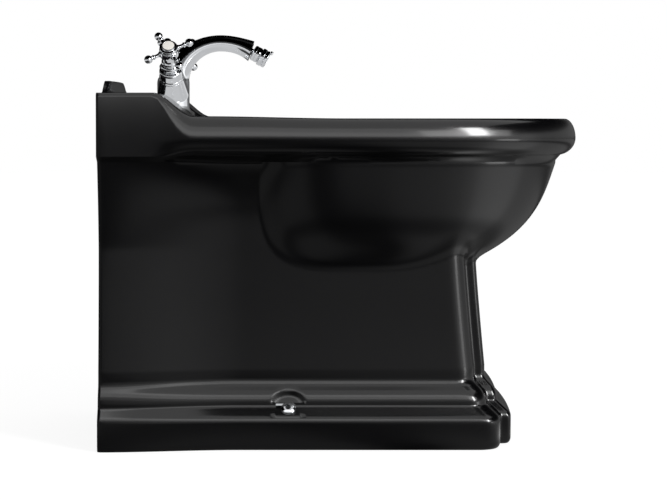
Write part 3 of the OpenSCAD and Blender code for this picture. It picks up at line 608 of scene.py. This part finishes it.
def brass():
    # Turned brass bar, left bare: warm, with fine tool rings and dull patches.
    return finish("turned brass", "brass", 1, 0.27,
                  grain=(11, 0.82), spots=(9, 0.09), relief=(0.9, 0.012), stretch=(1, 1, 3)), "brass"


def rubber():
    # Moulded nitrile rubber: matt black with a faint bloom.
    return finish("black nitrile rubber", "rubber", 0, 0.72, ior=1.52,
                  grain=(6, 0.8), spots=(8, 0.08), relief=(0.8, 0.03)), "rubber"


def porcelain():
    # Fired white porcelain discs: bright and glassy, a little warm.
    return finish("white glazed porcelain", "porcelain", 0, 0.09, ior=1.5,
                  grain=(7, 0.97), spots=(6, 0.02), relief=(4, 0.008)), "porcelain"


def nylon():
    # Injection moulded nylon: off white, soft sheen, fine spark texture.
    return finish("moulded white nylon", "nylon", 0, 0.46, ior=1.53,
                  grain=(12, 0.95), spots=(5, 0.05), relief=(0.7, 0.012)), "white_plastic"


# ---- the pieces ----

class BIDET_OT_body(bpy.types.Operator):
    """Makes the one-piece glazed body with its basin, wings, mouldings and scoops"""
    bl_idname = "bidet.body"
    bl_label = "Glazed body"

    def execute(self, context):
        s = body_shape(context.scene.bidet_body)
        crest = outline(s, s.roll_z, 0, s.roll_in_up, s.wing_round)
        half = skin_rings(s) + top_rings(s, crest) + hollow_rings(s)
        rings = [ring + [(x, -y, z) for x, y, z in ring[-2:0:-1]] for ring in half]
        body = loose("body", joined((looped(rings, closed=True), from_wall())))
        tap_hole = turned([(0, 0), (s.tap_hole, 0), (s.tap_hole, 80), (0, 80)], 72)
        pipe_gap = block((-10, -s.back_w / 2, -10), (s.wall_t + 10, s.back_w / 2, s.back_h))
        cut(body, (tap_hole, from_wall(s.tap_x, 0, s.rim_h - 60)), (pipe_gap, from_wall()))
        shown("glazed_body", as_shape(body), glaze(), "bidet", "ceramic_body", crease=38)
        return {"FINISHED"}


# ---- places on the tap, in millimetres ----

# The swan neck runs between two angles of its bend, in degrees from its top; its mouth tilts less than its bend.
NECK_FOOT, NECK_END, MOUTH_TILT = -72, 29, 18


def tap_places(context):
    """The tap's heights and axes: its foot, each valve, the swan neck and its nozzle."""
    s, t = body_shape(context.scene.bidet_body), context.scene.bidet_tap
    gasket_t, valve_rise, neck_rise, neck_out, front_bend, rear_bend = 1.5, 25.6, 92.5, 60.5, 80, 60
    foot = s.rim_h + s.rear_rise - s.seat_drop + gasket_t
    slim, mouth_r, foot_r = 10.4, 13.4, 17.5

    def valve(side):
        return from_wall(s.tap_x, 0, foot + valve_rise) @ Matrix.Rotation(-side * t.valve_tilt, 4, "X")

    def neck(angle):
        """Centre, tilt and radius of the swan neck at an angle from the top of its bend."""
        r, a = (front_bend if angle > 0 else rear_bend), radians(angle)
        centre = Vector((s.tap_x + neck_out + r * sin(a), 0, foot + neck_rise - r + r * cos(a)))
        if angle > 0:
            return centre, a * MOUTH_TILT / NECK_END, lerp(slim, mouth_r, (angle / NECK_END) ** 3)
        return centre, a, lerp(slim, foot_r, (angle / NECK_FOOT) ** 1.8)

    nozzle = from_wall(*neck(NECK_END)[0]) @ Matrix.Rotation(radians(90 + NECK_END), 4, "Y")
    drain = from_wall(s.basin_x, 0, 0)
    return SimpleNamespace(s=s, foot=foot, valve=valve, neck=neck, nozzle=nozzle, drain=drain,
                           column=from_wall(s.tap_x, 0, foot), rod_x=s.tap_x - 7.5, cross_w=84.9,
                           column_r=t.column_r * 1000, reach=t.arm_reach * 1000, ball=t.ball_r * 1000,
                           ring=t.ring_r * 1000, arms=t.arms)


def ring_of(shape, count, turn, finished):
    """Repeats a shape round the z axis with geometry nodes, and takes the result as one shape."""
    tree = bpy.data.node_groups.new("arms round a hub", "GeometryNodeTree")
    face = tree.interface
    face.new_socket("Geometry", in_out="INPUT", socket_type="NodeSocketGeometry")
    sockets = [face.new_socket(name, in_out="INPUT", socket_type=kind) for name, kind in
               (("Count", "NodeSocketInt"), ("First turn", "NodeSocketFloat"), ("Finish", "NodeSocketMaterial"))]
    face.new_socket("Geometry", in_out="OUTPUT", socket_type="NodeSocketGeometry")
    nodes = tree.nodes
    given = add(nodes, "NodeGroupInput").outputs
    points = add(nodes, "GeometryNodePoints", {"Count": given["Count"]})
    place = add(nodes, "GeometryNodeInputIndex").outputs["Index"]
    share = reckon(nodes, "DIVIDE", place, given["Count"])
    angle = reckon(nodes, "MULTIPLY_ADD", share, 2 * pi, given["First turn"])
    way = add(nodes, "ShaderNodeCombineXYZ", {"Z": angle}).outputs["Vector"]
    copies = add(nodes, "GeometryNodeInstanceOnPoints",
                 {"Points": points.outputs[0], "Instance": given["Geometry"], "Rotation": way})
    whole = add(nodes, "GeometryNodeRealizeInstances", {"Geometry": copies.outputs[0]})
    coated = add(nodes, "GeometryNodeSetMaterial", {"Geometry": whole.outputs[0], "Material": given["Finish"]})
    add(nodes, "NodeGroupOutput", {"Geometry": coated.outputs[0]})
    piece = loose("arms", shape)
    repeat = piece.modifiers.new("repeat", "NODES")
    repeat.node_group = tree
    for socket, value in zip(sockets, (count, turn, finished)):
        repeat[socket.identifier] = value
    return as_shape(baked(piece))


def disc(radius, low, high, sides=64, soft=0.3):
    """A round bar or plate with slightly broken edges."""
    return turned(softened([(0, low), (radius, low), (radius, high), (0, high)], soft), sides)


def block(low, high):
    """A plain block between two corners, for joining to other shapes."""
    bm = bmesh.new()
    middle = [(a + b) / 2 for a, b in zip(low, high)]
    bmesh.ops.create_cube(bm, size=1, matrix=Matrix.Translation(middle)
                          @ Matrix.Diagonal((*[b - a for a, b in zip(low, high)], 1)))
    return bm


class BIDET_OT_mixer(bpy.types.Operator):
    """Makes the mixer's column, its two valve branches and the swan neck as one polished casting"""
    bl_idname = "bidet.mixer"
    bl_label = "Mixer body and swan neck"

    def execute(self, context):
        p = tap_places(context)
        r = p.column_r
        flared = [(25 - (25 - r) * sin(a), 14 - 12 * cos(a)) for a in spread(0.1, pi / 2, 12)]
        crown = [(r - 4 + 4 * cos(a), 42 + 8 * sin(a)) for a in spread(0, 1.2, 8)]
        shapes = [(turned([(0, -6.5), (16.5, -6.5), (16.5, 0), (25, 0), (25, 2)] + flared + crown + [(0, 53)], 128),
                   p.column)]
        for side in (-1, 1):
            profile = [(0, -13)] + [(20 * cos(a), 7 + 20 * sin(a)) for a in spread(-1.4, 0.05, 16)]
            shapes.append((turned(profile + [(15.2, 36), (0, 36)], 96), p.valve(side)))
        rings = []
        for angle in spread(NECK_FOOT, NECK_END, 90) + [NECK_END + 1.2]:
            centre, tilt, radius = p.neck(angle)
            rings.append([centre + Vector((radius * cos(b) * sin(tilt), radius * sin(b), radius * cos(b) * cos(tilt)))
                          for b in spread(0, 2 * pi, 97)[:-1]])
        tilt = p.neck(NECK_FOOT)[1]
        rings.insert(0, [v - Vector((10 * cos(tilt), 0, 16)) for v in rings[0]])
        neck = looped(rings)
        bmesh.ops.holes_fill(neck, edges=neck.edges)
        bmesh.ops.recalc_face_normals(neck, faces=neck.faces)
        shapes.append((neck, from_wall()))
        cast = loose("casting", joined(*shapes))
        skin = cast.modifiers.new("one skin", "REMESH")
        skin.mode, skin.voxel_size = "VOXEL", 0.0006
        blend = cast.modifiers.new("polish", "SMOOTH")
        blend.factor, blend.iterations = 0.5, 24
        baked(cast)
        mouth = from_wall(*p.neck(NECK_END)[0]) @ Matrix.Rotation(radians(90 + MOUTH_TILT), 4, "Y")
        cut(cast, (disc(40, 0, 30), mouth), (disc(9.45, -12, 4), p.nozzle))
        shown("mixer_body", as_shape(cast), chrome(), "bidet", "tap_body", "spout", crease=40)
        polished("tap_gasket", "base_gasket", rubber(), "bidet")
        return {"FINISHED"}


class BIDET_OT_handles(bpy.types.Operator):
    """Makes the two bonnets and the two cross handles with their porcelain discs"""
    bl_idname = "bidet.handles"
    bl_label = "Bonnets and cross handles"

    def execute(self, context):
        p = tap_places(context)
        w, ball = p.cross_w, p.ball
        bonnet = ([(0, 36), (15.4, 36), (15.4, 39), (14.6, 40), (14.6, 48)]
                  + [(11 + 3.6 * cos(a), 48 + 4.5 * sin(a)) for a in spread(0, pi / 2, 10)]
                  + [(10.4, 52.5), (10.4, 54.5)]
                  + [(9.4 + 2.4 * cos(a), 58 + 3.6 * sin(a)) for a in spread(-1.05, 1.05, 12)]
                  + [(9, 61.8), (9, 64), (0, 64)])
        hub = [(0, 64.5), (10.2, 64.5), (10.6, 66), (10, 68), (8.6, 69.5), (8, w - 13), (8.4, w - 9), (10, w - 6.6),
               (11.8, w - 5.8), (11.8, w + 3), (10.8, w + 3.6), (10.8, w + 5), (11.4, w + 5.8), (11, w + 7.6),
               (8.5, w + 8.4), (8.5, w + 10.5), (7.25, w + 10.5), (7.25, w + 8.5), (0, w + 8.5)]
        arm = ([(0, 8), (3.8, 8), (3.8, 12.6), (3, 13.4), (2.3, 15), (2.1, p.reach - 9), (3.2, p.reach - 7.6),
                (3.2, p.reach - 6.6), (2.4, p.reach - 6)]
               + [(ball * sin(a), p.reach - ball * cos(a)) for a in spread(0.52, pi, 22)])
        disc_top = [(0, w + 8.6), (7.2, w + 8.6), (7.2, w + 10.5)]
        disc_top += [(6.4 * sin(a) + 0.8 * sin(a), w + 10.5 + 0.8 * cos(a)) for a in spread(pi / 2, 0, 12)]
        for name, side, turn in (("hot", -1, 30), ("cold", 1, 45)):
            body, place = name + "_handle", p.valve(side)
            shown("bonnet_" + name, joined(lathed(bonnet, place, 0.5)), chrome(), "bidet", "bonnet_" + name)
            lying = joined(lathed(arm, Matrix.Rotation(pi / 2, 4, "Y"), 0.4, 48))
            arms = ring_of(lying, p.arms, radians(turn), chrome()[0])
            shown("cross_handle_" + name,
                  joined(lathed(hub, place, 0.45), (arms, place @ Matrix.Translation((0, 0, w)))),
                  chrome(), body, "handle_" + name)
            shown("index_disc_top_" + name, joined(lathed(disc_top, place, 0.3, 96)),
                  porcelain(), body, "index_disc_" + name)
            polished("handle_screw_" + name + "_head", "handle_screw_" + name, steel(), body)
            polished("spindle_" + name + "_stem", "spindle_" + name, brass(), body)
            polished("valve_" + name + "_cartridge", "valve_" + name, brass(), "bidet")
        return {"FINISHED"}


class BIDET_OT_nozzle(bpy.types.Operator):
    """Makes the swivelling nozzle: nipple with its ball, seat ring, collar, end ring and screen"""
    bl_idname = "bidet.nozzle"
    bl_label = "Swivel nozzle"

    def execute(self, context):
        p = tap_places(context)
        ring = p.ring
        nipple = ([(0, -10), (9.4, -10), (9.4, -1), (4, -1)]
                  + [(7.5 * cos(a), 8 + 7.5 * sin(a)) for a in spread(-1.0, 1.2, 30)] + [(2.4, 15), (2.4, 8), (0, 8)])
        shown("nozzle_nipple", joined(lathed(nipple, p.nozzle, 0.25, 96)), chrome(), "bidet", "ball_nipple")
        polished("nozzle_seat_ring", "ball_seat", nylon(), "nozzle_seat")
        collar = [(6.9, 2.6), (8.4, 2.6), (9.5, 3.2), (10, 4.2), (10, 6.9), (9.75, 7.1), (9.75, 7.5), (10, 7.7),
                  (10, 11.6), (9.2, 12.2), (9.2, 13), (7.6, 13), (7.6, 8.6), (8.4, 8), (7.6, 5.6), (6.9, 4.6)]
        shown("nozzle_swivel_collar", joined(lathed(collar, p.nozzle, 0.25, closed=True)),
              chrome(), "nozzle", "nozzle_collar")
        end = [(7.6, 13), (ring - 1, 13), (ring, 14), (ring, 18), (ring - 0.9, 18.7), (ring - 0.9, 19.6),
               (ring - 0.2, 20.2), (ring - 0.4, 22.9), (ring - 1.4, 23.5), (8.7, 23.5), (8.7, 16.5), (7.6, 16.5)]
        pin = disc(2.4, 22.5, 25.9, 40, 0.6)
        shown("nozzle_end_ring",
              joined(lathed(end, p.nozzle, 0.3, closed=True),
                     (pin, p.nozzle @ Matrix.Translation((1.2 - ring, 0, 0)))),
              chrome(), "nozzle", "nozzle_ring")
        polished("nozzle_spray_screen", "nozzle_screen", steel(), "nozzle")
        return {"FINISHED"}


class BIDET_OT_lift(bpy.types.Operator):
    """Makes the lift rod with its knob, the strap, and the lever that works the plug"""
    bl_idname = "bidet.lift"
    bl_label = "Lift rod and lever"

    def execute(self, context):
        p = tap_places(context)
        knob_z = p.foot + 89
        profile = ([(2.55, knob_z), (3.4, knob_z), (3.4, knob_z + 1.5), (2.8, knob_z + 2.4)]
                   + [(4.8 * sin(a), knob_z + 6.2 - 4 * cos(a)) for a in spread(0.5, pi, 22)])
        shape = turned([(0, knob_z)] + softened(profile, 0.35), 72)
        shown("lift_knob_ball", joined((shape, from_wall(p.rod_x, 0, 0))), chrome(), "lift", "lift_knob")
        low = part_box("lift_rod")[0].z * 1000
        shown("lift_rod_bar", joined((disc(2.5, low, knob_z + 5, 48, 0.5), from_wall(p.rod_x, 0, 0))),
              chrome(), "lift", "lift_rod")
        for name, node, coat, body in (
                ("strap_with_holes", "link_strap", steel, "lift"),
                ("strap_thumb_screw", "strap_screw", brass, "lift"),
                ("lever_bar", "lever_rod", steel, "lever"),
                ("lever_spring_clip", "lever_clip", steel, "lever"),
                ("lever_seat_ring", "lever_seat", nylon, "bidet"),
                ("lever_port_nut", "lever_nut", chrome, "bidet")):
            polished(name, node, coat(), body)
        return {"FINISHED"}


class BIDET_OT_waste(bpy.types.Operator):
    """Makes the pop-up waste: flange, plug and seal in the basin, and the body and pipe below it"""
    bl_idname = "bidet.waste"
    bl_label = "Pop-up waste"

    def execute(self, context):
        p = tap_places(context)
        floor = p.s.basin_floor
        low, high = floor - 10, floor + 1.5
        seat = high + 0.8
        profile = [(18, low), (22.4, low), (22.4, high), (31.5, high), (31.5, high + 1), (29, high + 2.4),
                   (23.5, seat + 0.6), (21.5, seat), (18, seat)]
        shown("waste_flange_dish", joined(lathed(profile, p.drain, 0.5, closed=True)),
              chrome(), "bidet", "waste_flange")
        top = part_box("plug")[1].z * 1000 - 3.8
        cap = [(0, top - 2.5), (16.5, top - 2.5), (16.5, top), (20.5, top), (20.5, top + 1.4)]
        cap += [(19.6 * sin(a), top + 1.4 + 2.4 * cos(a)) for a in spread(1.4, 0, 20)]
        stem_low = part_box("plug")[0].z * 1000
        fin = block((0, -0.8, top - 24), (17, 0.8, top - 9.9))
        shown("plug_cap",
              joined(lathed(cap, p.drain, 0.4), (disc(3.5, stem_low, top, 48), p.drain),
                     (ring_of(fin, 4, pi / 4, chrome()[0]), p.drain)),
              chrome(), "plug", "plug")
        for name, node, coat, body in (
                ("plug_ring", "plug_seal", rubber, "plug"),
                ("flange_washer", "flange_gasket", rubber, "bidet"),
                ("waste_tube", "waste_body", chrome, "bidet"),
                ("under_washer", "under_gasket", rubber, "bidet"),
                ("waste_lock_nut", "lock_nut", brass, "bidet"),
                ("tail_tube", "tail_pipe", chrome, "bidet")):
            polished(name, node, coat(), body)
        return {"FINISHED"}


class BIDET_OT_fixings(bpy.types.Operator):
    """Makes the angled side screws with their covers, the floor brackets and the tap's fixing"""
    bl_idname = "bidet.fixings"
    bl_label = "Fixings"

    def execute(self, context):
        s = body_shape(context.scene.bidet_body)
        dome = [(9 * cos(a), 0.8 + 4 * sin(a)) for a in spread(0.05, 1.2, 14)]
        cover = [(7.6, 0)] + [(9, 0)] + dome + [(3.3, 4.72), (3.3, 3.3), (6, 3.3), (6, 1.3), (7.6, 1.3)]
        shapes = []
        for side in (-1, 1):
            lean = Matrix.Rotation(radians(90 - s.fixing_slope), 4, "X")
            place = (from_wall() @ Matrix.Diagonal((1, -side, 1, 1))
                     @ Matrix.Translation((s.fixing_x, -s.pocket_y, s.pocket_z)) @ lean)
            shapes.append(lathed(cover, place, 0.3, 96, closed=True))
            shapes.append((block((-15, 4.6, 0.02), (-4, 7.2, 1)), place))
        shown("screw_cover_caps", joined(*shapes), chrome(), "bidet", "screw_covers")
        for name, node, coat in (
                ("angled_side_screws", "side_screws", steel),
                ("screw_sleeve_pair", "screw_sleeves", nylon),
                ("floor_bracket_pair", "floor_brackets", nylon),
                ("tap_stud", "fixing_stud", brass),
                ("tap_stud_nut", "fixing_nut", brass),
                ("horseshoe_washer", "fixing_rubber", rubber),
                ("horseshoe_plate", "fixing_plate", steel)):
            polished(name, node, coat(), "bidet")
        return {"FINISHED"}


class BIDET_OT_stage(bpy.types.Operator):
    """Sets the pale floor, the studio light round it and the camera at the side"""
    bl_idname = "bidet.stage"
    bl_label = "Stage"

    def execute(self, context):
        stage = context.scene.bidet_stage
        scene = context.scene
        scene.view_settings.view_transform = "Standard"
        self.floor(stage)
        self.world(scene, stage)
        glazed, plated = self.lit("glazed body"), self.lit("tap")
        for thing in scene.objects:
            if thing.type == "MESH" and thing.name != "floor":
                (glazed if thing.name in ("glazed_body", "screw_cover_caps") else plated).objects.link(thing)
        # The key lamp makes the bright spot on the rim and the shadow. Glaze and chrome have soft boxes of their own:
        # on the glaze they draw the long lines and the front edge, and on the chrome the pale lower halves.
        self.lamp("key lamp", (1.70, -1.85, 1.42), (0.15, -0.15, 0.38), 0.5, 1.2, 20)
        self.lamp("front soft box", (1.75, -1.0, 0.12), (0.15, -0.15, 0.12), 0.5, 0.24, 2.2, glazed)
        self.lamp("long strip", (0.1, -1.1, 0.75), (0.1, -0.16, 0.30), 2.6, 0.5, 1.25, glazed)
        self.lamp("right strip", (0.85, -1.0, 0.75), (0.3, -0.16, 0.30), 1.1, 0.4, 2.0, glazed)
        self.lamp("top soft box", (0.2, -0.9, 2.2), (0.2, -0.89, 0.3), 3.2, 3.6, 0.75, glazed)
        self.lamp("far board", (0.1, -2.5, 0.9), (0.1, -0.2, 0.35), 5.0, 0.65, 0.42, glazed)
        self.lamp("tap's lower board", (0.1, 0, 0.405), (0.1, 0.01, 1.4), 3.2, 3.2, 0.7, plated)
        self.lamp("tap's side board", (0.1, -1.7, 0.44), (0.1, -0.2, 0.44), 2.4, 0.2, 0.65, plated)
        self.lamp("tap's front board", (1.4, -0.2, 0.46), (-0.2, -0.1, 0.46), 2.4, 0.2, 0.6, plated)
        data = bpy.data.cameras.new("side view")
        data.lens, data.sensor_width = 100, 36
        data.shift_y = -0.12
        camera = bpy.data.objects.new("side view", data)
        camera.location = (-0.0125, -stage.camera_y, stage.camera_z)
        camera.rotation_euler = (pi / 2 - stage.camera_dip, 0, 0)
        scene.collection.objects.link(camera)
        scene.camera = camera
        return {"FINISHED"}

    def lit(self, name):
        """A group of pieces that lamps can be limited to."""
        return bpy.data.collections.new(name + " and its own lamps")

    def lamp(self, name, place, aim, width, height, glow, things=None):
        """A soft rectangle of light; glow is how bright its face looks, where 1 is white."""
        data = bpy.data.lights.new(name, "AREA")
        data.shape, data.size, data.size_y, data.energy = "RECTANGLE", width, height, glow * pi * width * height
        lamp = bpy.data.objects.new(name, data)
        lamp.location = place
        lamp.rotation_euler = (Vector(place) - Vector(aim)).to_track_quat("Z", "Y").to_euler()
        lamp.visible_camera = False
        if things:
            lamp.light_linking.receiver_collection = things
        bpy.context.scene.collection.objects.link(lamp)

    def curved(self, nodes, given, points):
        """A curve through points from 0 to 1; its own two end points take the first and the last."""
        node = add(nodes, "ShaderNodeFloatCurve", {"Value": given})
        curve = node.mapping.curves[0]
        for spot, value in points:
            if spot in (0, 1):
                curve.points[0 if spot == 0 else len(curve.points) - 1].location = (spot, value)
            else:
                curve.points.new(spot, value)
        node.mapping.update()
        return node.outputs[0]

    def around(self, nodes, x, y):
        """How bright the mirrored studio is each way round: 0 degrees is to the side that is shown, 90 the front."""
        turn = reckon(nodes, "ARCTAN2", x, reckon(nodes, "MULTIPLY", y, -1.0))
        share = add(nodes, "ShaderNodeMapRange", {"Value": turn, "From Min": -pi, "From Max": pi}).outputs[0]
        return self.curved(nodes, share, [((way + 180) / 360, value) for way, value in (
            (-180, 0.05), (-90, 0.1), (-45, 0.14), (-24, 0.03), (-8, 0.13), (0, 0.2), (20, 0.27), (40, 0.5),
            (62, 0.9), (90, 0.5), (130, 0.25), (180, 0.05))])

    def floor(self, stage):
        """A pale floor; to mirrored rays it glows as a painted reflection, a pool of light that changes with the
        distance from the object and the way round it, dimmed near the object as painted shade.
        """
        edge, middle = 12.0, 0.15
        bm = bmesh.new()
        bmesh.ops.create_grid(bm, x_segments=1, y_segments=1, size=edge)
        ground = loose("floor", bm)
        material = bpy.data.materials.new("pale studio floor")
        nodes = blank(material)
        paint = add(nodes, "ShaderNodeBsdfDiffuse", {"Color": (0.3, 0.3, 0.3, 1)})
        glow = add(nodes, "ShaderNodeEmission", {"Color": (*stage.backdrop, 1), "Strength": 0.84})
        seen = add(nodes, "ShaderNodeAddShader", {0: paint.outputs[0], 1: glow.outputs[0]})
        spot = add(nodes, "ShaderNodeNewGeometry").outputs["Position"]
        parts = add(nodes, "ShaderNodeSeparateXYZ", {"Vector": spot}).outputs
        along = reckon(nodes, "SUBTRACT", parts["X"], middle)
        far = add(nodes, "ShaderNodeVectorMath", {0: spot}, operation="LENGTH").outputs["Value"]
        # Painted light: to glossy rays the floor glows in a painted pool, with rings near the object dimmed as painted
        # shade, so that the glaze mirrors painted reflections and shade.
        pool = self.curved(nodes, reckon(nodes, "DIVIDE", far, edge), (
            (0, 0.9), (0.022, 0.9), (0.032, 0.35), (0.045, 0.9), (0.09, 0.9), (0.14, 0.3), (0.22, 0.9), (1, 0.7)))
        pool = reckon(nodes, "MULTIPLY", pool, self.around(nodes, along, parts["Y"]))
        mirrored = add(nodes, "ShaderNodeEmission", {"Color": (1, 1, 1, 1), "Strength": pool})
        path = add(nodes, "ShaderNodeLightPath").outputs
        for ray, other in (("Is Camera Ray", seen), ("Is Glossy Ray", mirrored)):
            paint = add(nodes, "ShaderNodeMixShader", {0: path[ray], 1: paint.outputs[0], 2: other.outputs[0]})
        add(nodes, "ShaderNodeOutputMaterial", {"Surface": paint.outputs[0]})
        ground.data.materials.append(material)

    def world(self, scene, stage):
        """White to the camera; what pieces mirror is a pale band above the floor, brightest at the front."""
        world = bpy.data.worlds.new("studio")
        scene.world = world
        nodes = blank(world)
        way = add(nodes, "ShaderNodeTexCoord").outputs["Generated"]
        parts = add(nodes, "ShaderNodeSeparateXYZ", {"Vector": way}).outputs
        rise = self.curved(nodes, parts["Z"],
                           ((0, 0.8), (0.06, 1.0), (0.14, 1.0), (0.25, 0.4), (0.4, 0.05), (1, 0.03)))
        tone = reckon(nodes, "MULTIPLY", rise, self.around(nodes, parts["X"], parts["Y"]))
        path = add(nodes, "ShaderNodeLightPath").outputs
        glossy = add(nodes, "ShaderNodeMix", {"Factor": path["Is Glossy Ray"], 2: 0.55, 3: tone})
        seen = add(nodes, "ShaderNodeMix", {"Factor": path["Is Camera Ray"], 2: glossy.outputs[0], 3: 1.0})
        sky = add(nodes, "ShaderNodeBackground", {"Color": (*stage.backdrop, 1), "Strength": seen.outputs[0]})
        add(nodes, "ShaderNodeOutputWorld", {"Surface": sky.outputs[0]})


class BIDET_PT_panel(bpy.types.Panel):
    """Lists the sizes, the finishes and the pieces"""
    bl_label = "Floor standing bidet"
    bl_idname = "BIDET_PT_panel"
    bl_space_type = "VIEW_3D"
    bl_region_type = "UI"
    bl_category = "Bidet"

    def draw(self, context):
        layout = self.layout
        for key in GROUPS:
            group = getattr(context.scene, key)
            box = layout.box()
            for field in type(group).__annotations__:
                box.prop(group, field)
        for maker in MAKERS:
            layout.operator(maker.bl_idname)


GROUPS = {"bidet_body": BidetBodySizes, "bidet_tap": BidetTapSizes, "bidet_finish": BidetFinish,
          "bidet_stage": BidetStage}
MAKERS = (BIDET_OT_body, BIDET_OT_mixer, BIDET_OT_handles, BIDET_OT_nozzle, BIDET_OT_lift, BIDET_OT_waste,
          BIDET_OT_fixings, BIDET_OT_stage)


def register():
    for kind in (*GROUPS.values(), *MAKERS, BIDET_PT_panel):
        bpy.utils.register_class(kind)
    for key, kind in GROUPS.items():
        setattr(bpy.types.Scene, key, PointerProperty(type=kind))


def unregister():
    for key in GROUPS:
        delattr(bpy.types.Scene, key)
    for kind in reversed((*GROUPS.values(), *MAKERS, BIDET_PT_panel)):
        bpy.utils.unregister_class(kind)


def main():
    register()
    for maker in MAKERS:
        group, action = maker.bl_idname.split(".")
        getattr(getattr(bpy.ops, group), action)()


if __name__ == "__main__":
    main()
